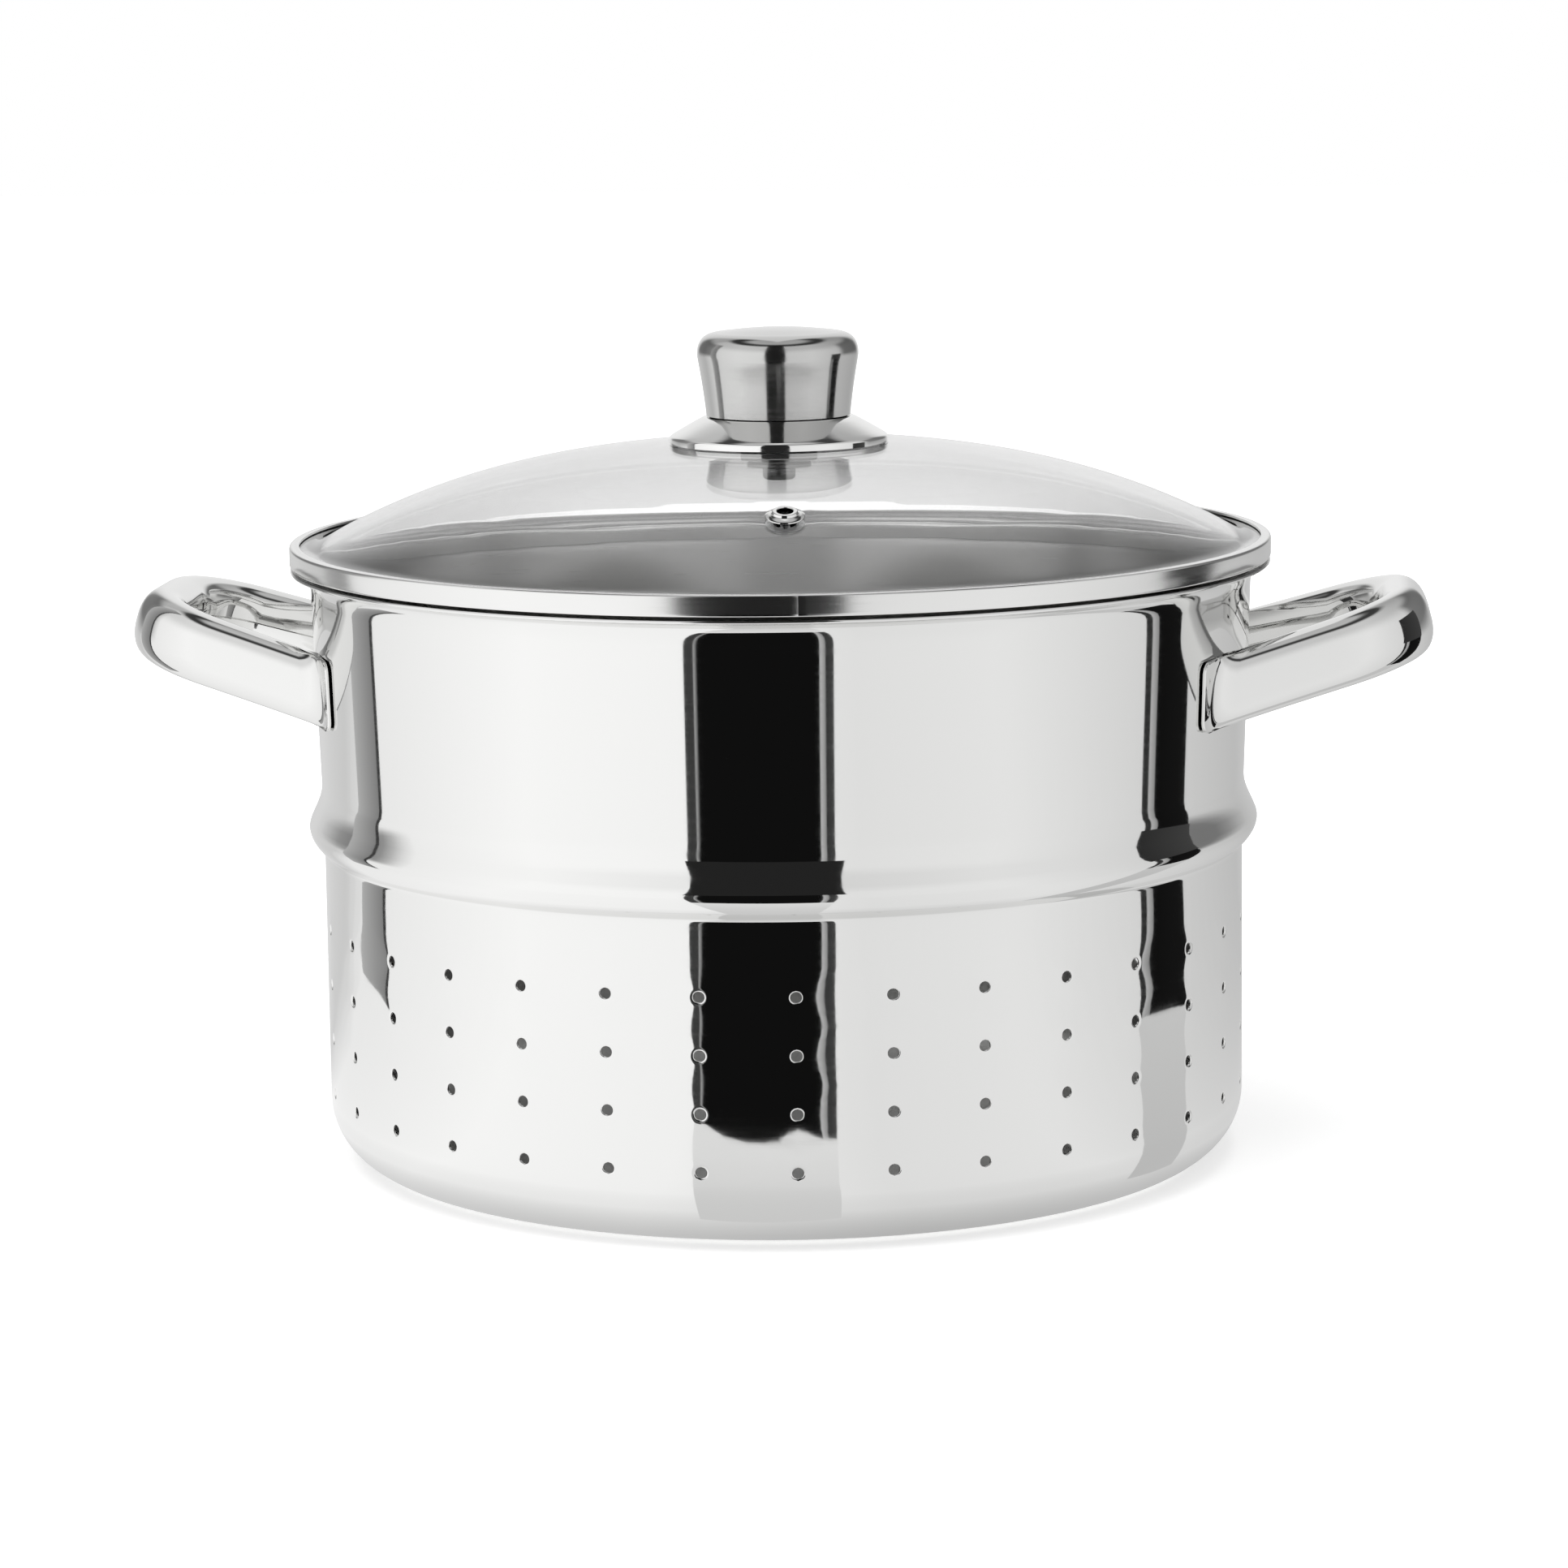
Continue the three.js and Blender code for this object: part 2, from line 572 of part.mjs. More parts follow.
/** The threaded insert inside the cap: it stands on the skirt and reaches the crown. */
function knobInsert() {
    const radius = SCREW_CLEAR_RADIUS + INSERT_WALL;
    const flange = radius + INSERT_FLANGE_WIDTH;
    const top = CAP_TOP - KNOB_SHEET - 2 * SEAT_GAP;
    const roof = SCREW_TIP + SEAT_GAP;
    return toSolid(turned([
        [0, roof],
        [SCREW_CLEAR_RADIUS, roof],
        [SCREW_CLEAR_RADIUS, CAP_FOOT],
        [flange, CAP_FOOT],
        [flange, CAP_FOOT + INSERT_FLANGE],
        [radius, CAP_FOOT + INSERT_FLANGE],
        [radius, top],
        [0, top],
    ], FITTING_SIDES));
}

/** The silicone seat between the glass and the skirt's flat top. */
function knobGasket() {
    const bottom = glassTop(KNOB_HOLE_RADIUS) + SEAT_GAP;
    const top = SKIRT_TOP - KNOB_SHEET - SEAT_GAP;
    return washer(SCREW_CLEAR_RADIUS, SCREW_CLEAR_RADIUS + GASKET_WIDTH, bottom, top, FITTING_SIDES);
}

/** The silicone grommet: a flange under the glass and a sleeve through the hole. */
function knobGrommet() {
    const sleeve = SCREW_CLEAR_RADIUS + GROMMET_WALL;
    const flange = KNOB_HOLE_RADIUS + GROMMET_FLANGE_WIDTH;
    return turnedRing([
        [SCREW_CLEAR_RADIUS, GROMMET_TOP - GROMMET_FLANGE],
        [flange, GROMMET_TOP - GROMMET_FLANGE],
        [flange, GROMMET_TOP],
        [sleeve, GROMMET_TOP],
        [sleeve, glassTop(KNOB_HOLE_RADIUS)],
        [SCREW_CLEAR_RADIUS, glassTop(KNOB_HOLE_RADIUS)],
    ], FITTING_SIDES);
}

/** The steel washer under the grommet. */
function knobWasher() {
    const outer = SCREW_CLEAR_RADIUS + WASHER_WIDTH;
    return washer(SCREW_CLEAR_RADIUS, outer, WASHER_TOP - WASHER_THICKNESS, WASHER_TOP, FITTING_SIDES);
}

/** The slotted screw that clamps the stack, from under the lid into the insert. */
function knobScrew() {
    const bottom = SCREW_SEAT - SCREW_HEAD_HEIGHT;
    const head = SCREW_RADIUS + SCREW_HEAD_RIM;
    const body = toSolid(turned([
        [0, bottom],
        [head - SCREW_HEAD_CHAMFER, bottom],
        [head, bottom + SCREW_HEAD_CHAMFER],
        [head, SCREW_SEAT],
        [SCREW_RADIUS, SCREW_SEAT],
        [SCREW_RADIUS, SCREW_TIP],
        [0, SCREW_TIP],
    ], FITTING_SIDES));
    const slot = new THREE.BoxGeometry(4 * head, SCREW_SLOT_WIDTH, 2 * SCREW_SLOT_DEPTH);
    slot.translate(0, 0, bottom);
    return body.subtract(toSolid(slot));
}

/** A named mesh of a solid, in one of the finishes. */
function piece(name, solid, finish) {
    const mesh = new THREE.Mesh(toGeometry(solid), new THREE.MeshStandardMaterial(FINISHES[finish]));
    mesh.name = name;
    return mesh;
}

const basket = new THREE.Group();
basket.add(piece('basket_shell', basketShell(), 'polishedSteel'));
const rightHandle = piece('handle_right', handle(), 'polishedSteel');
const leftHandle = piece('handle_left', handle(), 'polishedSteel');
leftHandle.rotation.z = Math.PI;
basket.add(rightHandle, leftHandle);

const vent = new THREE.Group();
vent.applyMatrix4(ventPlace());
vent.add(piece('vent_eyelet', ventEyelet(), 'polishedSteel'));
vent.add(piece('vent_washer', ventWasher(), 'plainSteel'));

const lid = new THREE.Group();
lid.add(piece('lid_glass', lidGlass(), 'clearGlass'));
lid.add(piece('lid_rim_band', lidRimBand(), 'polishedSteel'));
lid.add(vent);
lid.add(piece('knob_skirt', knobSkirt(), 'polishedSteel'));
lid.add(piece('knob_cap', knobCap(), 'polishedSteel'));
lid.add(piece('knob_insert', knobInsert(), 'plainSteel'));
lid.add(piece('knob_gasket', knobGasket(), 'greySilicone'));
lid.add(piece('knob_grommet', knobGrommet(), 'greySilicone'));
lid.add(piece('knob_washer', knobWasher(), 'plainSteel'));
lid.add(piece('knob_screw', knobScrew(), 'plainSteel'));

const steamJuicer = new THREE.Group();
steamJuicer.add(basket, lid);

export default steamJuicer;
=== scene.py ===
"""Looks of a steam juicer's fruit basket with a glass lid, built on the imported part's frame.

All shapes are worked out in millimetres and stored in metres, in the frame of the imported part: the origin is
the middle of the flat base, +Z is up, the handles lie along X and the front faces -Y.
"""

import logging
from dataclasses import dataclass
from enum import Enum

import bmesh
import bpy
import numpy as np
from mathutils import Matrix


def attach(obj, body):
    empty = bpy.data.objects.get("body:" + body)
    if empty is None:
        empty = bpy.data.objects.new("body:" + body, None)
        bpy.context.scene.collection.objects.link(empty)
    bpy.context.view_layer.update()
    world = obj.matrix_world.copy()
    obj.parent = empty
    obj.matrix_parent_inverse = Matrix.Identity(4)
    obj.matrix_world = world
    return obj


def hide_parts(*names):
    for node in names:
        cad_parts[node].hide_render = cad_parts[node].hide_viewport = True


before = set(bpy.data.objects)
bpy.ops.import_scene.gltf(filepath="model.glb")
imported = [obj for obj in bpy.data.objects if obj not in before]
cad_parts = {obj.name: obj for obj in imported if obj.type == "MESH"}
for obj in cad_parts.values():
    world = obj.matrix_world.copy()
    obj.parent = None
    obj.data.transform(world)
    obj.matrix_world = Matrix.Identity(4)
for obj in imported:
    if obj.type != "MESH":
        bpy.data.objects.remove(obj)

Array = np.ndarray
LOG = logging.getLogger("steam_juicer")
MM = 0.001
WELD = 1e-4
WELD_SHIFT = 0.137  # keeps round coordinates off the borders between two weld cells
LEAST_STEPS = 8
BELL_REACH = 1.5
ROUND_STEPS = 6
WHITE = (1.0, 1.0, 1.0, 1.0)
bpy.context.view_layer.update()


class Body(Enum):
    """The rigid bodies of the part."""

    BASKET = "basket"
    LID = "lid"


class Slot(Enum):
    """The record's material slots."""

    POLISHED = "polished_steel"
    PLAIN = "plain_steel"
    GLASS = "glass"
    SILICONE = "silicone"


class Side(Enum):
    """The two sides of the basket that carry a handle, as the handle's half turn about Z."""

    RIGHT = 0.0
    LEFT = np.pi


# Materials


def linear(code: str) -> tuple[float, float, float, float]:
    """Turns an sRGB hex colour into linear light.

    Args:
        code: The colour as six hex digits.

    Returns:
        Red, green, blue and full alpha.
    """
    parts = np.array([int(code[i:i + 2], 16) for i in (0, 2, 4)]) / 255
    light = np.where(parts <= 0.04045, parts / 12.92, ((parts + 0.055) / 1.055) ** 2.4)
    return (*light.tolist(), 1.0)


def add_node(tree: bpy.types.NodeTree, kind: str, settings: dict | None = None,
             links: dict | None = None) -> bpy.types.Node:
    """Adds one node with its settings and its links.

    Args:
        tree: The node tree that gets the node.
        kind: The node's Blender type, without the words ShaderNode before it.
        settings: Values by property name, socket name or socket number.
        links: Other nodes, whose first output is taken, or sockets, by this node's socket name or number.

    Returns:
        The new node.
    """
    node = tree.nodes.new(f"ShaderNode{kind}")
    for key, value in (settings or {}).items():
        if isinstance(key, str) and hasattr(node, key):
            setattr(node, key, value)
        else:
            node.inputs[key].default_value = value
    for key, source in (links or {}).items():
        socket = source.outputs[0] if isinstance(source, bpy.types.Node) else source
        tree.links.new(socket, node.inputs[key])
    return node


def new_material(name: str) -> tuple[bpy.types.Material, bpy.types.NodeTree]:
    """Starts an empty node material.

    Args:
        name: The material's name.

    Returns:
        The material and its node tree.
    """
    material = bpy.data.materials.new(name)
    material.use_nodes = True
    material.node_tree.nodes.clear()
    return material, material.node_tree


def noise_bump(tree: bpy.types.NodeTree, size_mm: float, height_mm: float,
               detail: float) -> tuple[bpy.types.Node, bpy.types.Node]:
    """Adds a noise of a real size, and the bump that it makes.

    Args:
        tree: The node tree.
        size_mm: Size of the noise's patches.
        height_mm: Height of the bump.
        detail: The noise's finer octaves.

    Returns:
        The noise and the bump.
    """
    place = add_node(tree, "TexCoord").outputs["Object"]
    noise = add_node(tree, "TexNoise", {"Scale": 1 / (size_mm * MM), "Detail": detail}, {"Vector": place})
    bump = add_node(tree, "Bump", {"Strength": 1.0, "Distance": height_mm * MM},
                    {"Height": noise})
    return noise, bump


@dataclass(frozen=True)
class PressedSteel:
    """Stainless steel sheet, drawn and then polished or brushed round its axis.

    A mirror polish gives hard-edged pictures of the studio that bend with the sheet's slight waves. A brushed
    face blurs them across its fine lines.
    """

    name: str
    colour: str
    roughness: float
    haze: float
    wave_mm: float
    wave_height_mm: float
    line_mm: float
    line_height_mm: float
    anisotropy: float = 0.0
    blur_turn: float = 0.0
    streak_mm: float = 40.0
    gloss_marks: tuple[float, float] = (0.3, 0.75)

    def build(self) -> bpy.types.Material:
        """Makes the material: waves and lines bend the normal, and worn patches change the gloss.

        Returns:
            The finished material.
        """
        material, tree = new_material(self.name)
        wavy = noise_bump(tree, self.wave_mm, self.wave_height_mm, 1.0)[1]
        place = add_node(tree, "TexCoord").outputs["Object"]
        # The lines run round the axis: the pattern changes slowly with X and Y, fast with radius and height.
        apart = add_node(tree, "SeparateXYZ", None, {"Vector": place})
        flat = add_node(tree, "VectorMath", {"operation": "MULTIPLY", 1: (1.0, 1.0, 0.0)}, {0: place})
        radius = add_node(tree, "VectorMath", {"operation": "LENGTH"}, {0: flat})
        girth = add_node(tree, "Math", {"operation": "ADD"},
                         {0: radius.outputs["Value"], 1: apart.outputs["Z"]})
        drawn = add_node(tree, "Math", {"operation": "MULTIPLY", 1: 1 / (self.line_mm * MM)}, {0: girth})
        slow = add_node(tree, "VectorMath", {"operation": "SCALE", "Scale": 1 / (self.streak_mm * MM)},
                        {0: place})
        ways = add_node(tree, "SeparateXYZ", None, {"Vector": slow})
        streak = add_node(tree, "CombineXYZ", None,
                          {"X": ways.outputs["X"], "Y": ways.outputs["Y"], "Z": drawn})
        lines = add_node(tree, "TexNoise", {"Scale": 1.0, "Detail": 3.0, "Roughness": 0.7},
                         {"Vector": streak})
        lined = add_node(tree, "Bump", {"Strength": 1.0, "Distance": self.line_height_mm * MM},
                         {"Height": lines, "Normal": wavy})
        low, high = self.gloss_marks
        gloss = add_node(tree, "MapRange", {"From Min": low, "From Max": high, "To Min": self.roughness,
                                            "To Max": self.roughness + self.haze}, {"Value": lines})
        links = {"Roughness": gloss, "Normal": lined}
        if self.anisotropy:
            links["Tangent"] = add_node(tree, "Tangent", {"direction_type": "RADIAL", "axis": "Z"})
        surface = add_node(tree, "BsdfPrincipled",
                           {"Base Color": linear(self.colour), "Metallic": 1.0,
                            "Anisotropic": self.anisotropy, "Anisotropic Rotation": self.blur_turn}, links)
        add_node(tree, "OutputMaterial", None, {"Surface": surface})
        return material


@dataclass(frozen=True)
class TemperedGlass:
    """Clear soda-lime glass, pressed into a dome and tempered: it shows faint waves in what it mirrors."""

    name: str
    colour: str
    ior: float
    wave_mm: float
    wave_height_mm: float

    def build(self) -> bpy.types.Material:
        """Makes the material: a clear body with slow waves in its faces.

        Returns:
            The finished material.
        """
        material, tree = new_material(self.name)
        wavy = noise_bump(tree, self.wave_mm, self.wave_height_mm, 0.0)[1]
        surface = add_node(tree, "BsdfPrincipled",
                           {"Base Color": linear(self.colour), "Roughness": 0.0, "IOR": self.ior,
                            "Transmission Weight": 1.0},
                           {"Normal": wavy})
        add_node(tree, "OutputMaterial", None, {"Surface": surface})
        return material


@dataclass(frozen=True)
class MouldedSilicone:
    """Food-grade silicone, moulded in a blasted die: soft, matt and slightly speckled."""

    name: str
    colour: str
    shade: str
    roughness: float
    grain_mm: float
    grain_height_mm: float = 0.02
    ior: float = 1.41

    def build(self) -> bpy.types.Material:
        """Makes the material: a fine grain that shades the colour and breaks the gloss.

        Returns:
            The finished material.
        """
        material, tree = new_material(self.name)
        grain, rough = noise_bump(tree, self.grain_mm, self.grain_height_mm, 2.0)
        tint = add_node(tree, "ValToRGB", None, {"Fac": grain})
        tint.color_ramp.elements[0].color = linear(self.shade)
        tint.color_ramp.elements[1].color = linear(self.colour)
        surface = add_node(tree, "BsdfPrincipled", {"Roughness": self.roughness, "IOR": self.ior},
                           {"Base Color": tint, "Normal": rough})
        add_node(tree, "OutputMaterial", None, {"Surface": surface})
        return material


@dataclass(frozen=True)
class Palette:
    """The finishes of the whole object."""

    mirror: PressedSteel = PressedSteel(
        "stainless_steel_mirror_polished", "E6E6E5", 0.03, 0.03, 48.0, 0.03, 1.2, 0.0002)
    inside: PressedSteel = PressedSteel(
        "stainless_steel_satin_brushed", "DADAD9", 0.27, 0.08, 60.0, 0.05, 0.6, 0.002, 0.9, 0.25)
    band: PressedSteel = PressedSteel(
        "stainless_steel_rolled_bright", "E6E6E5", 0.13, 0.04, 60.0, 0.01, 1.0, 0.0002, 0.7)
    knob: PressedSteel = PressedSteel(
        "stainless_steel_spun_polished", "C8C8C7", 0.09, 0.06, 20.0, 0.012, 0.7, 0.0006)
    skirt: PressedSteel = PressedSteel(
        "stainless_steel_pressed_polished", "ECECEB", 0.05, 0.05, 20.0, 0.012, 0.7, 0.0006)
    handle: PressedSteel = PressedSteel(
        "stainless_steel_tumbled_polished", "E4E4E3", 0.035, 0.04, 16.0, 0.04, 1.5, 0.0002)
    plain: PressedSteel = PressedSteel(
        "stainless_steel_turned", "B9BABA", 0.24, 0.16, 8.0, 0.01, 0.25, 0.003)
    glass: TemperedGlass = TemperedGlass("soda_lime_glass_tempered", "FCFCFC", 1.52, 70.0, 0.05)
    silicone: MouldedSilicone = MouldedSilicone("silicone_moulded_grey", "C6C8C8", "B4B6B6", 0.55, 0.6)


# Shapes


def smooth_step(share: Array) -> Array:
    """Eases 0 to 1 with the cubic 3t^2 - 2t^3."""
    t = np.clip(share, 0, 1)
    return t * t * (3 - 2 * t)


def lengths(line: Array) -> Array:
    """Distance along a line of points, from 0 at its first point."""
    return np.concatenate([[0], np.cumsum(np.linalg.norm(np.diff(line, axis=0), axis=1))])


def rounded(line: Array, radius: float, closed: bool = False, step: float = 0.1) -> Array:
    """Softens a line's corners: even steps along it are averaged with a bell-shaped weight.

    The weight at distance d is exp(-(d / s)^2 / 2) with s = radius / 2: a corner turns over about a radius.

    Args:
        line: Points of the line.
        radius: How far the corners are softened, in millimetres.
        closed: Whether the line ends where it starts.
        step: Distance between the even steps.

    Returns:
        The softened line at even steps.
    """
    if closed:
        line = np.concatenate([line, line[:1]])
    along = lengths(line)
    count = max(int(along[-1] / step), LEAST_STEPS)
    even = np.linspace(0, along[-1], count + 1)
    dense = np.stack([np.interp(even, along, line[:, k]) for k in range(line.shape[1])], -1)
    spacing = along[-1] / count
    reach = max(int(BELL_REACH * radius / spacing), 1)
    offsets = np.arange(-reach, reach + 1)
    weight = np.exp(-0.5 * (offsets * spacing / (radius / 2)) ** 2)
    weight /= weight.sum()
    if closed:
        ring = dense[:-1]
        padded = np.concatenate([ring[-reach:], ring, ring[:reach]])
    else:
        head = 2 * dense[:1] - dense[reach:0:-1]
        tail = 2 * dense[-1:] - dense[-2:-reach - 2:-1]
        padded = np.concatenate([head, dense, tail])
    soft = np.stack([np.convolve(padded[:, k], weight, "valid") for k in range(line.shape[1])], -1)
    return np.concatenate([soft, soft[:1]]) if closed else soft


def thinned(line: Array, turn_deg: float = 6.0, span: float = 8.0) -> Array:
    """Keeps the points of a dense line that its bends and its length need.

    A point is kept each time the turning divided by turn_deg, plus the length divided by span, grows by one.

    Args:
        line: Dense points of the line.
        turn_deg: Turning between two kept points on a bend, in degrees.
        span: Distance between two kept points on a straight.

    Returns:
        The kept points, with both ends.
    """
    edges = np.diff(line, axis=0)
    size = np.linalg.norm(edges, axis=1)
    ways = edges / np.maximum(size, 1e-9)[:, None]
    bend = np.degrees(np.arccos(np.clip((ways[1:] * ways[:-1]).sum(1), -1, 1)))
    need = np.concatenate([[0], np.cumsum(size / span + np.concatenate([[0], bend]) / turn_deg)])
    marks = np.linspace(0, need[-1], max(int(np.ceil(need[-1])), 2) + 1)
    return line[np.unique(np.searchsorted(need, marks).clip(0, len(line) - 1))]


def beside(line: Array, distance: float) -> Array:
    """Moves a line to its left, square to its middle direction at each point.

    Args:
        line: Points of [radius, height].
        distance: How far it moves, to its right where negative.

    Returns:
        The moved line.
    """
    way = np.gradient(line, axis=0)
    way /= np.linalg.norm(way, axis=1, keepdims=True)
    return line + distance * np.stack([-way[:, 1], way[:, 0]], -1)


def turned(profile: Array, angles: Array) -> Array:
    """Carries a profile round Z: the point at (radius, height) and angle a is (r cos a, r sin a, h).

    Args:
        profile: Points of [radius, height].
        angles: The angles in radians.

    Returns:
        A grid of points, a row for each profile point and a column for each angle.
    """
    radius, height = profile[:, :1], profile[:, 1:]
    flat = np.stack([radius * np.cos(angles), radius * np.sin(angles)], -1)
    return np.concatenate([flat, np.broadcast_to(height[:, None], (*flat.shape[:2], 1))], -1)


def full_turn(count: int, start: float = 0.0) -> Array:
    """Even angles round a full turn, from a start angle."""
    return start + np.arange(count) * 2 * np.pi / count


def bend_curve(start: tuple, control: tuple, end: tuple, count: int = 24) -> Array:
    """Points of a quadratic curve: (1-t)^2 start + 2t(1-t) control + t^2 end."""
    t = np.linspace(0, 1, count + 1)[:, None]
    return (1 - t) ** 2 * np.array(start) + 2 * t * (1 - t) * np.array(control) + t ** 2 * np.array(end)


class Surface:
    """The patches of one piece, in millimetres, welded into one mesh at the end."""

    def __init__(self) -> None:
        """Starts with no patches."""
        self.points: list[Array] = []
        self.quads: list[Array] = []
        self.finishes: list[Array] = []
        self.count = 0

    def add(self, grid: Array, wrap: bool = False, finish: int = 0) -> None:
        """Adds a grid of points as a patch of four-sided faces.

        Args:
            grid: Points in rows and columns.
            wrap: Whether the last column joins the first.
            finish: Number of the piece's material.
        """
        rows, columns = grid.shape[:2]
        index = self.count + np.arange(rows * columns).reshape(rows, columns)
        if wrap:
            index = np.concatenate([index, index[:, :1]], 1)
        quads = np.stack([index[:-1, :-1], index[:-1, 1:], index[1:, 1:], index[1:, :-1]], -1).reshape(-1, 4)
        self.points.append(grid.reshape(-1, 3))
        self.quads.append(quads)
        self.finishes.append(np.full(len(quads), finish))
        self.count += rows * columns

    def cap(self, loop: Array) -> None:
        """Closes a loop of points with a fan to its middle."""
        middle = np.broadcast_to(loop.mean(0), loop.shape)
        self.add(np.stack([loop, middle]), True)

    def tube(self, rings: Array) -> None:
        """Adds rings of points as a tube, and closes both its ends.

        Args:
            rings: The rings, one to a row.
        """
        self.add(rings, True)
        self.cap(rings[0])
        self.cap(rings[-1])

    def punched(self, outer: Array, inner: Array) -> None:
        """Adds a hole in a sheet: the outer face, the bore between the first rings, and the inner face.

        Args:
            outer: Rings of the outer face from the hole outwards, with finish 0.
            inner: Rings of the inner face, with finish 1.
        """
        self.add(outer, True, 0)
        self.add(np.stack([outer[0], inner[0]]), True, 0)
        self.add(inner, True, 1)

    def mesh(self, name: str, levels: Array | None = None) -> bpy.types.Mesh:
        """Welds the patches, drops faces without area and turns all faces outwards.

        Args:
            name: The mesh's name.
            levels: A value for each point, kept as the attribute "level".

        Returns:
            The finished mesh, in metres.
        """
        points = np.concatenate(self.points)
        quads, finishes = np.concatenate(self.quads), np.concatenate(self.finishes)
        keys = np.round(points / WELD + WELD_SHIFT).astype(np.int64)
        first, inverse = np.unique(keys, axis=0, return_index=True, return_inverse=True)[1:]
        quads = inverse.reshape(-1)[quads]
        apart = quads != np.roll(quads, -1, axis=1)
        four, three = apart.all(1), apart.sum(1) == 3
        triangles = quads[three][apart[three]].reshape(-1, 3)
        mesh = bpy.data.meshes.new(name)
        mesh.from_pydata(points[first] * MM, [], quads[four].tolist() + triangles.tolist())
        order = np.concatenate([finishes[four], finishes[three]])
        mesh.polygons.foreach_set("material_index", order.astype(np.int32))
        work = bmesh.new()
        work.from_mesh(mesh)
        bmesh.ops.recalc_face_normals(work, faces=work.faces)
        work.to_mesh(mesh)
        work.free()
        if levels is not None:
            kept = mesh.attributes.new("level", "FLOAT", "POINT")
            kept.data.foreach_set("value", levels.reshape(-1)[first].astype(np.float32))
        return mesh


def lathe(line: Array, sides: int) -> Surface:
    """The surface that a line makes round the axis.

    Args:
        line: Points of [radius, height].
        sides: Number of sides round the axis.

    Returns:
        The surface.
    """
    surface = Surface()
    surface.add(turned(line, full_turn(sides)), True)
    return surface


def lathe_ring(outline: list, sides: int, radius: float) -> Surface:
    """A ring turned from an outline that closes on itself, with its corners softened.

    Args:
        outline: Points of [radius, height].
        sides: Number of sides round the axis.
        radius: How far the corners are softened.

    Returns:
        The ring's surface.
    """
    line = thinned(rounded(np.array(outline), radius, True, radius / ROUND_STEPS), turn_deg=15, span=4)
    line[-1] = line[0]
    return lathe(line, sides)


def box_ring(inside: float, outside: float, low: float, high: float, sides: int, radius: float) -> Surface:
    """A ring of rectangular section.

    Args:
        inside: Radius of its hole.
        outside: Its outer radius.
        low: Height of its underside.
        high: Height of its top.
        sides: Number of sides round the axis.
        radius: How far the corners are softened.

    Returns:
        The ring's surface.
    """
    return lathe_ring([[inside, low], [outside, low], [outside, high], [inside, high]], sides, radius)


def new_object(name: str, data: bpy.types.ID) -> bpy.types.Object:
    """Puts a mesh, lamp or camera into the scene as an object at the origin.

    Args:
        name: The object's name.
        data: What it shows.

    Returns:
        The object.
    """
    thing = bpy.data.objects.new(name, data)
    bpy.context.scene.collection.objects.link(thing)
    return thing


def place_piece(surface: Surface, name: str, node: str, body: Body,
                materials: list[bpy.types.Material], sharp_deg: float = 40.0) -> None:
    """Makes a piece of a surface, puts it on its body and lets it stand for its CAD node.

    Args:
        surface: The piece's surface.
        name: The piece's name.
        node: The CAD node that it stands for.
        body: The body that it rides on.
        materials: The piece's materials, in the order of its finish numbers.
        sharp_deg: Edges that turn more than this stay sharp.
    """
    mesh = surface.mesh(name)
    mesh.shade_smooth()
    mesh.set_sharp_from_angle(angle=np.radians(sharp_deg))
    for material in materials:
        mesh.materials.append(material)
    piece = new_object(name, mesh)
    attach(piece, body.value)
    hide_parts(node)
    LOG.info("%s: %d faces on body %s", name, len(mesh.polygons), body.value)


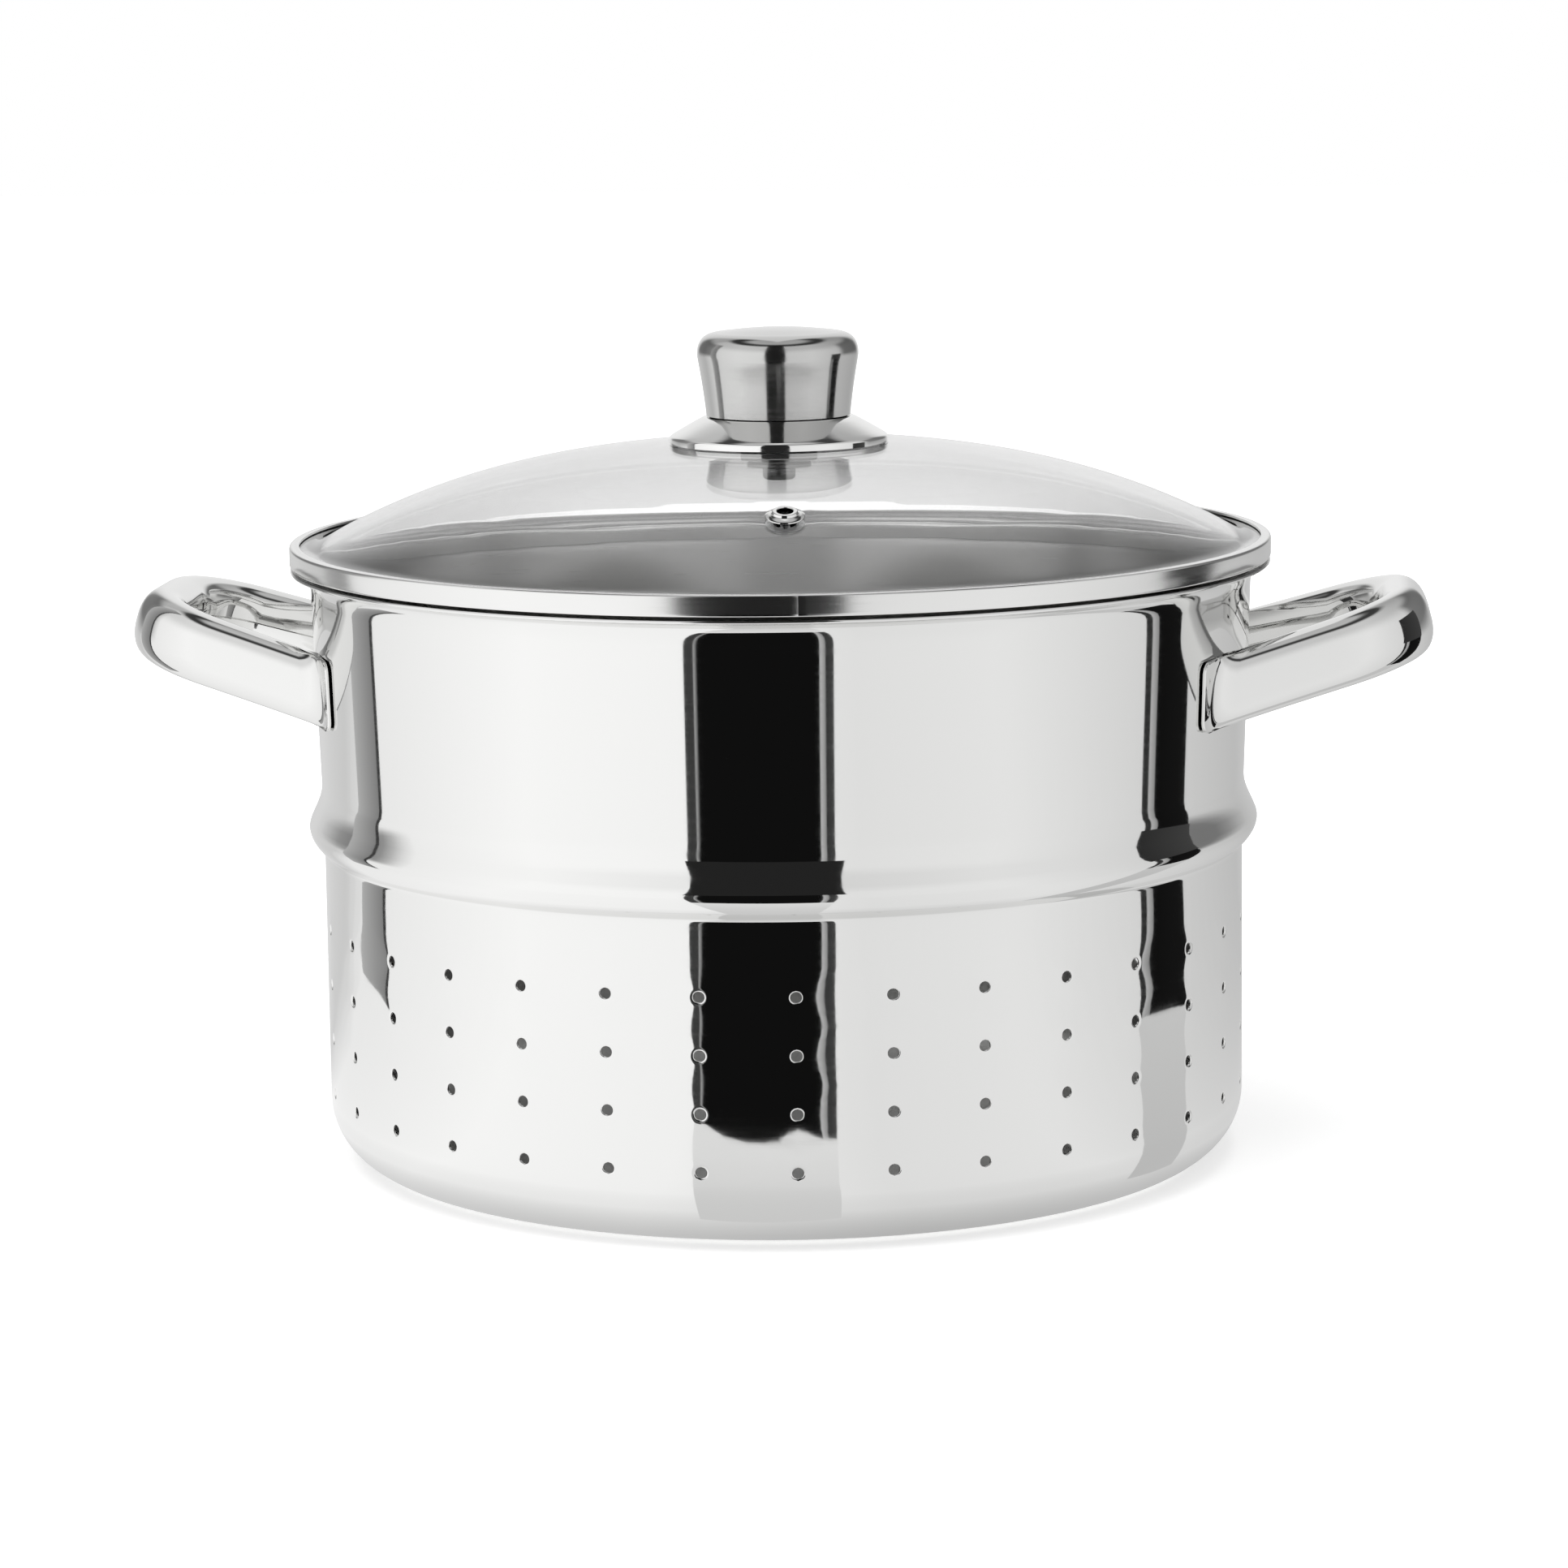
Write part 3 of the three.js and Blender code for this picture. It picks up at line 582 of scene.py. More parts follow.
@dataclass
class Basket:
    """The perforated basket: base, rounded corner, wall with holes, seating bead, upper wall and lip."""

    sheet: float = 0.8
    wall: float = 129.7
    corner: float = 18.0
    bead_height: float = 95.8
    bead_bulge: float = 4.2
    bead_drop: float = 6.6
    bead_slope: float = 11.7
    bead_lean: float = 0.75
    neck_step: float = 0.4
    upper_height: float = 53.0
    upper_flare: float = 1.7
    lip_depth: float = 7.8
    lip_flare: float = 5.3
    lip_ease: float = 1.4
    softness: float = 1.1
    lip_edge: float = 0.25
    lip_round: tuple[float, ...] = (0.0, 0.7, 1.0, 0.7, 0.0)
    line_steps: int = 40
    corner_steps: int = 15
    hole_radius: float = 1.5
    hole_columns: int = 32
    hole_rows: int = 4
    hole_margin: float = 4.0
    hole_pitch: float = 15.6
    hole_bearing: float = np.radians(6.65)
    cell_steps: int = 6
    crown_height: float = 0.15
    crown_width: float = 5.0
    crown_rows: tuple[float, ...] = (0.15, 0.6, 1.0, 1.0)
    rim_steps: tuple[float, ...] = (0.0, 0.06, 0.18, 0.34, 0.5, 1.1, 1.9)
    rim_depths: tuple[float, ...] = (0.3, 0.16, 0.06, 0.015, 0.0, 0.0, 0.0)
    bore_break: float = 0.1
    ring_steps: int = 3
    ring_power: float = 1.3
    base_pitch: float = 28.0
    base_steps: tuple[float, ...] = (0.0, 0.2, 1.5)
    base_break: float = 0.15
    base_ring: float = 6.0
    base_rings: int = 2
    base_rows: int = 8

    @property
    def neck(self) -> float:
        """Height of the top of the bead's slope."""
        return self.bead_height + self.bead_slope

    @property
    def lip_foot(self) -> float:
        """Height where the lip leaves the wall."""
        return self.neck + self.upper_height

    @property
    def lip_top(self) -> float:
        """Height of the lip's edge."""
        return self.lip_foot + self.lip_depth

    @property
    def mouth(self) -> float:
        """Outer radius of the wall under the lip."""
        return self.wall + self.neck_step + self.upper_flare

    @property
    def row_heights(self) -> Array:
        """Heights of the rows of holes."""
        return self.corner + self.hole_margin + self.hole_pitch * np.arange(self.hole_rows)

    @property
    def column_angles(self) -> Array:
        """Angles of the columns of holes, from +X."""
        return full_turn(self.hole_columns, self.hole_bearing - np.pi / 2)

    @property
    def angles(self) -> Array:
        """Angles of all the upright grid lines: a whole number of them to each column of holes."""
        half = np.pi / self.hole_columns
        return full_turn(self.hole_columns * self.cell_steps, self.column_angles[0] - half)

    def upper_wall(self, height: Array) -> Array:
        """Outer radius of the upper wall, which widens evenly with height."""
        return self.wall + self.neck_step + self.upper_flare * (height - self.neck) / self.upper_height

    def crown(self, angle: Array, height: Array) -> Array:
        """How far the punch has pushed the sheet out round the holes.

        Each hole adds crown_height * share * exp(-(d / crown_width)^2) at a distance d along the sheet. The
        share is that of its row in crown_rows, from the lowest up: the stiff corner holds lower rows back.

        Args:
            angle: Angles of the points.
            height: Heights of the points.

        Returns:
            The outward shift of each point.
        """
        pitch = 2 * np.pi / self.hole_columns
        column = np.round((angle - self.column_angles[0]) / pitch)
        off = angle - self.column_angles[0] - column * pitch
        around = self.wall * (off[..., None] + pitch * np.array([-1.0, 0.0, 1.0]))
        rise = height[..., None] - self.row_heights
        width = self.crown_width
        rows = (np.exp(-(rise / width) ** 2) * self.crown_rows).sum(-1)
        return self.crown_height * np.exp(-(around / width) ** 2).sum(-1) * rows

    def upper_line(self) -> Array:
        """The outer line above the holes, from the wall over the bead to the lip's edge.

        Under the crest the bead is a parabola. Above it an eased step runs out into the upper wall, and the
        power bead_lean of the height keeps its steepest part near the crest. The lip is a quarter ellipse
        that leaves the wall slowly and ends level: its flare is raised to the power lip_ease.

        Returns:
            Softened points of [radius, height].
        """
        t = np.linspace(0, 1, self.line_steps)
        under = np.stack([self.wall + self.bead_bulge * (1 - (1 - t) ** 2),
                          self.bead_height - self.bead_drop * (1 - t)], -1)
        step = (self.bead_bulge - self.neck_step) * (1 - smooth_step(t ** self.bead_lean))
        over = np.stack([self.wall + self.neck_step + step, self.bead_height + self.bead_slope * t], -1)
        turn = t * np.pi / 2
        lip = np.stack([self.mouth + self.lip_flare * (1 - np.cos(turn)) ** self.lip_ease,
                        self.lip_foot + (self.lip_depth - self.sheet) * np.sin(turn)], -1)
        line = np.concatenate([[[self.wall, self.cell_heights[-1]]], under, over[1:], lip])
        soft = rounded(line, self.softness)
        soft[:, 0] = np.minimum(soft[:, 0], self.mouth + self.lip_flare)
        return thinned(soft, turn_deg=4, span=6)

    @property
    def cell_heights(self) -> Array:
        """Heights of the borders between the rows of holes."""
        return np.concatenate([[self.corner], self.row_heights + self.hole_pitch / 2])

    @staticmethod
    def cell_border(low: float, high: float, half: float, across: int, up: int) -> Array:
        """Points round a rectangle.

        Args:
            low: Its lower side.
            high: Its upper side.
            half: Half its width.
            across: Points along the lower and the upper side.
            up: Points along the other two.

        Returns:
            The points, from the lower left corner round by the right.
        """
        x = np.linspace(-half, half, across + 1)
        y = np.linspace(low, high, up + 1)
        sides = ((x[:-1], np.full(across, low)), (np.full(up, half), y[:-1]),
                 (x[:0:-1], np.full(across, high)), (np.full(up, -half), y[:0:-1]))
        return np.concatenate([np.stack(side, -1) for side in sides])

    @staticmethod
    def hole_rings(border: Array, centre: Array, radii: Array, steps: int, power: float) -> Array:
        """Rings from a hole's edge out to the border of its cell, circles first.

        Args:
            border: Points round the cell.
            centre: The hole's centre.
            radii: Radii of the circles.
            steps: Number of rings between the last circle and the border.
            power: How much closer to each other the inner rings lie.

        Returns:
            The rings, one to a row.
        """
        way = border - centre
        way = way / np.linalg.norm(way, axis=1, keepdims=True)
        circles = centre + np.asarray(radii)[:, None, None] * way
        share = (np.arange(1, steps + 1) / steps)[:, None, None] ** power
        return np.concatenate([circles, circles[-1] + share * (border - circles[-1])])

    def wall_cell(self, surface: Surface, column: float, row: int) -> None:
        """Adds one hole of the wall with the sheet round it: outer face, rounded rim, bore and inner face.

        Args:
            surface: The basket's surface.
            column: Angle of the hole.
            row: Number of its row, from the lowest up.
        """
        low, high = self.cell_heights[row], self.cell_heights[row + 1]
        half = self.wall * np.pi / self.hole_columns
        centre = np.array([0.0, self.row_heights[row]])
        border = self.cell_border(low, high, half, self.cell_steps, self.cell_steps)
        radii = self.hole_radius + np.array(self.rim_steps)
        depths = np.pad(np.array(self.rim_depths), (0, self.ring_steps))

        def bent(circles: Array, depth: Array) -> Array:
            """Lays rings round the hole, wraps them round the wall and pushes them in by a depth.

            Args:
                circles: Radii of the inner rings, which are round.
                depth: Depth of each ring.

            Returns:
                The rings, one to a row.
            """
            rings = self.hole_rings(border, centre, circles, self.ring_steps, self.ring_power)
            angle = column + rings[..., 0] / self.wall
            radius = self.wall + self.crown(angle, rings[..., 1]) - depth[:, None]
            return np.stack([radius * np.cos(angle), radius * np.sin(angle), rings[..., 1]], -1)

        inner = radii[::3]
        inner_depth = np.full(len(inner) + self.ring_steps, self.sheet)
        inner_depth[0] -= self.bore_break
        surface.punched(bent(radii, depths), bent(inner, inner_depth))

    def flat_sheet(self, surface: Surface, rings: Array) -> None:
        """Adds flat rings round a hole of the base as a sheet with a broken lower edge.

        Args:
            surface: The basket's surface.
            rings: Points of [x, y], the hole's edge first.
        """
        outer = np.concatenate([rings, np.zeros((*rings.shape[:2], 1))], -1)
        outer[0, :, 2] = self.base_break
        inner = np.concatenate([rings, np.full((*rings.shape[:2], 1), self.sheet)], -1)
        surface.punched(outer, inner)

    def base_cells(self, surface: Surface) -> None:
        """Adds the base's holes: one in the middle, a ring of six and a ring of twelve.

        Args:
            surface: The basket's surface.
        """
        start, pitch = self.angles[0], self.base_pitch
        circle = np.stack([np.cos(self.angles), np.sin(self.angles)], -1)
        edges = self.hole_radius + np.array(self.base_steps)
        radii = np.array([edges[0], edges[1], self.base_ring, pitch / 2])
        self.flat_sheet(surface, radii[:, None, None] * circle)
        for ring in range(1, self.base_rings + 1):
            count = 6 * ring
            width = 2 * np.pi / count
            border = self.cell_border((ring - 0.5) * pitch, (ring + 0.5) * pitch, width / 2,
                                      len(self.angles) // count, self.base_rows)
            for i in range(count):
                bearing = np.round((start + (i + 0.5) * width) / width) * width
                centre = ring * pitch * np.array([np.cos(bearing), np.sin(bearing)])
                angle = start + i * width + width / 2 + border[:, 0]
                flat = border[:, 1:] * np.stack([np.cos(angle), np.sin(angle)], -1)
                rings = self.hole_rings(flat, centre, edges, self.ring_steps, self.ring_power)
                self.flat_sheet(surface, rings)

    def pushed(self, line: Array, share: Array | float = 1.0) -> Array:
        """Carries a line of the sheet round the axis, pushed out by the crown round the holes.

        Args:
            line: Points of [radius, height].
            share: How much of the push each point takes.

        Returns:
            A grid of points, a row for each point of the line.
        """
        grid = turned(line, self.angles)
        push = share * self.crown(np.broadcast_to(self.angles, grid.shape[:2]), grid[..., 2])
        grid[..., 0] += push * np.cos(self.angles)
        grid[..., 1] += push * np.sin(self.angles)
        return grid

    def build(self) -> Surface:
        """Joins base, corner, wall and lip into one closed sheet.

        Returns:
            The basket's surface, with finish 0 outside and finish 1 inside.
        """
        surface = Surface()
        self.base_cells(surface)
        t = np.linspace(0, np.pi / 2, self.corner_steps)
        flat = self.wall - self.corner
        edge = (self.base_rings + 0.5) * self.base_pitch
        for depth, finish in ((0.0, 0), (self.sheet, 1)):
            radius = self.corner - depth
            arc = np.stack([flat + radius * np.sin(t), self.corner - radius * np.cos(t)], -1)
            line = np.concatenate([[[edge, depth], [(edge + flat) / 2, depth]], arc])
            surface.add(self.pushed(line, line[:, :1] > flat + 1), True, finish)
        for column in self.column_angles:
            for row in range(self.hole_rows):
                self.wall_cell(surface, column, row)
        outer = self.upper_line()
        inner = beside(outer, self.sheet)
        inner[0] = [self.wall - self.sheet, outer[0, 1]]
        inner[-1] = [outer[-1, 0], self.lip_top]
        for finish, line in enumerate((outer, inner)):
            surface.add(self.pushed(line), True, finish)
        edge_radius = outer[-1, 0] + self.lip_edge * np.array(self.lip_round)
        edge_height = np.linspace(outer[-1, 1], self.lip_top, len(self.lip_round))
        surface.add(turned(np.stack([edge_radius, edge_height], -1), self.angles), True, 0)
        return surface

    def dress(self, palette: Palette) -> None:
        """Builds the basket and gives it its polished outside and brushed inside.

        Args:
            palette: The finishes.
        """
        place_piece(self.build(), "perforated_basket", "basket_shell", Body.BASKET,
                    [palette.mirror.build(), palette.inside.build()])


@dataclass
class Handle:
    """One looped handle of rolled sheet, with a weld tab that flares out of each leg."""

    basket: Basket
    side: Side
    sheet: float = 1.0
    rise: float = 31.3
    tilt: float = np.radians(16.8)
    splay: float = np.radians(13.0)
    length: float = 45.7
    tip_flat: float = 21.0
    bend: float = 25.0
    root_half: tuple[float, float] = (6.1, 9.4)
    tip_half: tuple[float, float] = (6.9, 9.7)
    squareness: float = 2.35
    sides: int = 48
    seam_width: float = 0.5
    seam_depth: float = 0.45
    tab_reach: float = 7.5
    tab_half_height: float = 9.8
    tab_corner: float = 3.5
    tab_lift: float = 0.45
    tab_station: float = 2.0
    tab_rows: int = 33
    edge_round: float = 0.25
    edge_depth: float = 0.6
    flare: float = 6.0
    leg_start: float = 1.5
    leg_steps: int = 8
    bend_steps: int = 19
    tip_part: float = 5.0
    curve_steps: int = 13
    plate_steps: int = 6
    weld_sides: int = 16
    weld_radius: float = 0.75
    weld_rise: float = 0.45
    weld_inset: float = 0.42
    weld_steps: tuple[float, ...] = (0.0, 0.35, 0.6, 0.8, 1.0)
    weld_lifts: tuple[float, ...] = (0.03, 0.05, 0.16, 0.12, -0.05)
    seat: float = 0.05
    sharp_deg: float = 50.0

    @property
    def height(self) -> float:
        """Height of the loop's middle plane at the wall."""
        return self.basket.neck + self.rise

    @property
    def half_width(self) -> float:
        """Distance of a leg's middle line from the handle's middle, at the wall."""
        bend_width = self.bend * (1 / np.cos(self.splay) - np.tan(self.splay))
        return self.tip_flat / 2 + bend_width + self.length * np.tan(self.splay)

    def to_frame(self, along: Array, across: Array, up: Array) -> Array:
        """Takes points of the loop's own tilted plane to the part's frame, on the +X side.

        Args:
            along: Distances from the wall.
            across: Distances along Y.
            up: Distances square to the plane.

        Returns:
            The points.
        """
        reach = self.basket.upper_wall(self.height)
        c, s = np.cos(self.tilt), np.sin(self.tilt)
        return np.stack([reach + along * c - up * s, across, self.height + along * s + up * c], -1)

    def to_wall(self, points: Array, way: Array, gap: float) -> Array:
        """Moves points along a direction until they meet the wall's cone, widened by a gap.

        The cone is x^2 + y^2 = (a + k z)^2, and the first root of the quadratic along the way is taken.

        Args:
            points: The points to move.
            way: Their directions.
            gap: Distance from the wall's outer face.

        Returns:
            The points on the cone.
        """
        slope = self.basket.upper_flare / self.basket.upper_height
        cone = self.basket.upper_wall(points[..., 2]) + gap
        a = way[..., 0] ** 2 + way[..., 1] ** 2 - (slope * way[..., 2]) ** 2
        b = 2 * (points[..., 0] * way[..., 0] + points[..., 1] * way[..., 1] - slope * way[..., 2] * cone)
        c = points[..., 0] ** 2 + points[..., 1] ** 2 - cone ** 2
        t = (-b - np.sqrt(np.maximum(b * b - 4 * a * c, 0))) / (2 * a)
        return points + t[..., None] * way

    def path(self) -> tuple[Array, Array]:
        """The loop's middle line, from the leg at -Y over bend, flat tip and bend to the leg at +Y.

        Returns:
            Points of [along, across], and the directions there.
        """
        start = self.length - self.bend * (1 - np.sin(self.splay))
        lean = np.tan(self.splay)
        turn = np.linspace(self.splay - np.pi / 2, 0, self.bend_steps)
        leg = np.linspace(self.leg_start, start, self.leg_steps)[:-1]
        legs = np.stack([leg, leg * lean - self.half_width], -1)
        arc = np.stack([self.length - self.bend + self.bend * np.cos(turn),
                        -self.tip_flat / 2 + self.bend * np.sin(turn)], -1)
        leg_way = np.broadcast_to([np.cos(self.splay), np.sin(self.splay)], legs.shape)
        arc_way = np.stack([-np.sin(turn), np.cos(turn)], -1)
        half = np.concatenate([legs, arc, [[self.length, -self.tip_flat / self.tip_part]]])
        half_way = np.concatenate([leg_way, arc_way, [[0.0, 1.0]]])
        points = np.concatenate([half, half[::-1] * [1, -1]])
        return points, np.concatenate([half_way, half_way[::-1] * [-1, 1]])

    def section(self) -> tuple[Array, Array]:
        """The tube's section as a superellipse of unit size, with a fine seam groove on the inner side.

        Returns:
            Shares across and up, outer side first.
        """
        power = 2 / self.squareness
        half_seam = (self.seam_width / 2 / self.root_half[1]) ** (1 / power)
        angle = np.sort(np.concatenate([full_turn(self.sides), np.pi + half_seam * np.array([-1.0, 1.0])]))
        c, s = np.cos(angle), np.sin(angle)
        groove = self.seam_depth / self.root_half[0] * (np.abs(angle - np.pi) < half_seam / 2)
        return np.sign(c) * np.abs(c) ** power + groove, np.sign(s) * np.abs(s) ** power

    def half_sizes(self, along: Array) -> tuple[Array, Array]:
        """Half depth and half height of the tube at a distance from the wall, eased from root to tip."""
        share = smooth_step(along / self.length)
        return tuple(root + (tip - root) * share for root, tip in zip(self.root_half, self.tip_half))

    def loop(self, surface: Surface) -> None:
        """Adds the tube: the section carried along the path, with its ends fitted to the wall.

        Args:
            surface: The handle's surface.
        """
        middle, way = self.path()
        depth, height = self.half_sizes(middle[:, 0])
        across, up = self.section()
        along = middle[:, :1] + way[:, 1:] * depth[:, None] * across
        beside_it = middle[:, 1:] - way[:, :1] * depth[:, None] * across
        rings = self.to_frame(along, beside_it, np.broadcast_to(height[:, None] * up, along.shape))
        inward = self.leg_way()
        first = self.to_wall(rings[0], inward * [1, -1, 1], self.seat)
        last = self.to_wall(rings[-1], inward, self.seat)
        surface.tube(np.concatenate([first[None], rings, last[None]]))

    def leg_way(self) -> Array:
        """Direction along the leg at +Y, towards the wall."""
        flat = np.array([-np.cos(self.splay), np.sin(self.splay)])
        return np.array([flat[0] * np.cos(self.tilt), flat[1], flat[0] * np.sin(self.tilt)])

    def tab_place(self, angle: Array, height: Array, gap: Array | float) -> Array:
        """A point on the wall at an angle and height, a gap outside its face."""
        radius = self.basket.upper_wall(height) + gap
        return np.stack([radius * np.cos(angle), radius * np.sin(angle), height], -1)

    def tab(self, surface: Surface, mirror: int) -> None:
        """Adds the weld tab of one leg: the leg's outer half flares into a flat plate on the wall.

        Each row starts on the leg, bends in a quadratic curve round the corner with the wall and runs along
        the wall to the plate's rounded edge. The rows go from the plate's foot to its top.

        Args:
            surface: The handle's surface.
            mirror: 1 for the leg at +Y and -1 for the one at -Y.
        """
        inward = self.leg_way()
        theta = np.linspace(-np.pi / 2, np.pi / 2, self.tab_rows)
        power = 2 / self.squareness
        across = self.root_half[0] * np.cos(theta).clip(0) ** power
        up = self.root_half[1] * np.sign(np.sin(theta)) * np.abs(np.sin(theta)) ** power
        normal = np.array([np.sin(self.splay), np.cos(self.splay)])
        base = np.array([self.tab_station, self.half_width - self.tab_station * np.tan(self.splay)])
        leg = self.to_frame(base[0] + normal[0] * across, base[1] + normal[1] * across, up)
        corner = self.to_wall(leg, np.broadcast_to(inward, leg.shape), self.sheet)
        begin = corner - self.flare * inward
        middle_leg = self.to_wall(self.to_frame(base[0], base[1], 0.0), inward, 0.0)
        heart = corner[self.tab_rows // 2]
        face = np.hypot(heart[0], heart[1])
        outer_angle = np.arctan2(heart[1], heart[0]) + self.tab_reach / face
        rise = np.sin(theta) * self.tab_half_height
        inset = np.clip(np.abs(rise) - (self.tab_half_height - self.tab_corner), 0, self.tab_corner)
        back = self.tab_corner - np.sqrt(self.tab_corner ** 2 - inset ** 2)
        end_angle = outer_angle - back / face
        start_angle = np.arctan2(corner[:, 1], corner[:, 0])
        height = middle_leg[2] + rise
        t = np.linspace(0, 1, self.curve_steps)[:, None, None]
        bent_angle = start_angle + (end_angle - start_angle) * 0.5
        bent = self.tab_place(bent_angle, 0.5 * (corner[:, 2] + height), self.sheet)
        curve = (1 - t) ** 2 * begin + 2 * t * (1 - t) * corner + t ** 2 * bent
        s = np.linspace(0, 1, self.plate_steps)[1:, None]
        plate = self.tab_place(bent_angle + s * (end_angle - bent_angle),
                               bent[:, 2] + smooth_step(s) * (height - bent[:, 2]),
                               self.sheet + self.tab_lift * s ** 2)
        edge = self.tab_place(end_angle + self.edge_round / face, height,
                              self.edge_depth * self.sheet + self.tab_lift)[None]
        u = np.linspace(0, 1, self.plate_steps)[:, None]
        behind = self.tab_place(end_angle + u * (start_angle - end_angle),
                                height + u * (corner[:, 2] - height),
                                self.seat + self.tab_lift * (1 - u) ** 2)
        surface.tube(np.concatenate([curve, plate, edge, behind]).transpose(1, 0, 2) * [1, mirror, 1])
        for side in (-1, 1):
            self.weld(surface, outer_angle - self.weld_inset * self.tab_reach / face,
                      middle_leg[2] + side * self.weld_rise * self.tab_half_height, mirror)

    def weld(self, surface: Surface, angle: float, height: float, mirror: int) -> None:
        """Adds a spot-weld mark on the tab: a low ring of pushed-up metal round a dent.

        Args:
            surface: The handle's surface.
            angle: Angle of its middle.
            height: Height of its middle.
            mirror: 1 for the leg at +Y and -1 for the one at -Y.
        """
        reach = self.weld_radius * np.array(self.weld_steps)[:, None]
        around = full_turn(self.weld_sides)
        radius = self.basket.upper_wall(height) + self.sheet
        turn = angle + reach * np.cos(around) / radius
        level = height + reach * np.sin(around)
        ring = radius + np.array(self.weld_lifts)[:, None]
        grid = np.stack([ring * np.cos(turn), ring * np.sin(turn) * mirror, level], -1)
        surface.add(grid, True)
        surface.cap(grid[-1])

    def build(self) -> Surface:
        """Joins the loop and its two tabs, and turns them to the handle's side.

        Returns:
            The handle's surface.
        """
        surface = Surface()
        self.loop(surface)
        self.tab(surface, 1)
        self.tab(surface, -1)
        c, s = np.cos(self.side.value), np.sin(self.side.value)
        spin = np.array([[c, s, 0], [-s, c, 0], [0, 0, 1]])
        surface.points = [points @ spin for points in surface.points]
        return surface

    def dress(self, palette: Palette) -> None:
        """Builds the handle in tumbled and polished steel.

        Args:
            palette: The finishes.
        """
        name = self.side.name.lower()
        place_piece(self.build(), f"loop_handle_{name}", f"handle_{name}", Body.BASKET,
                    [palette.handle.build()], self.sharp_deg)


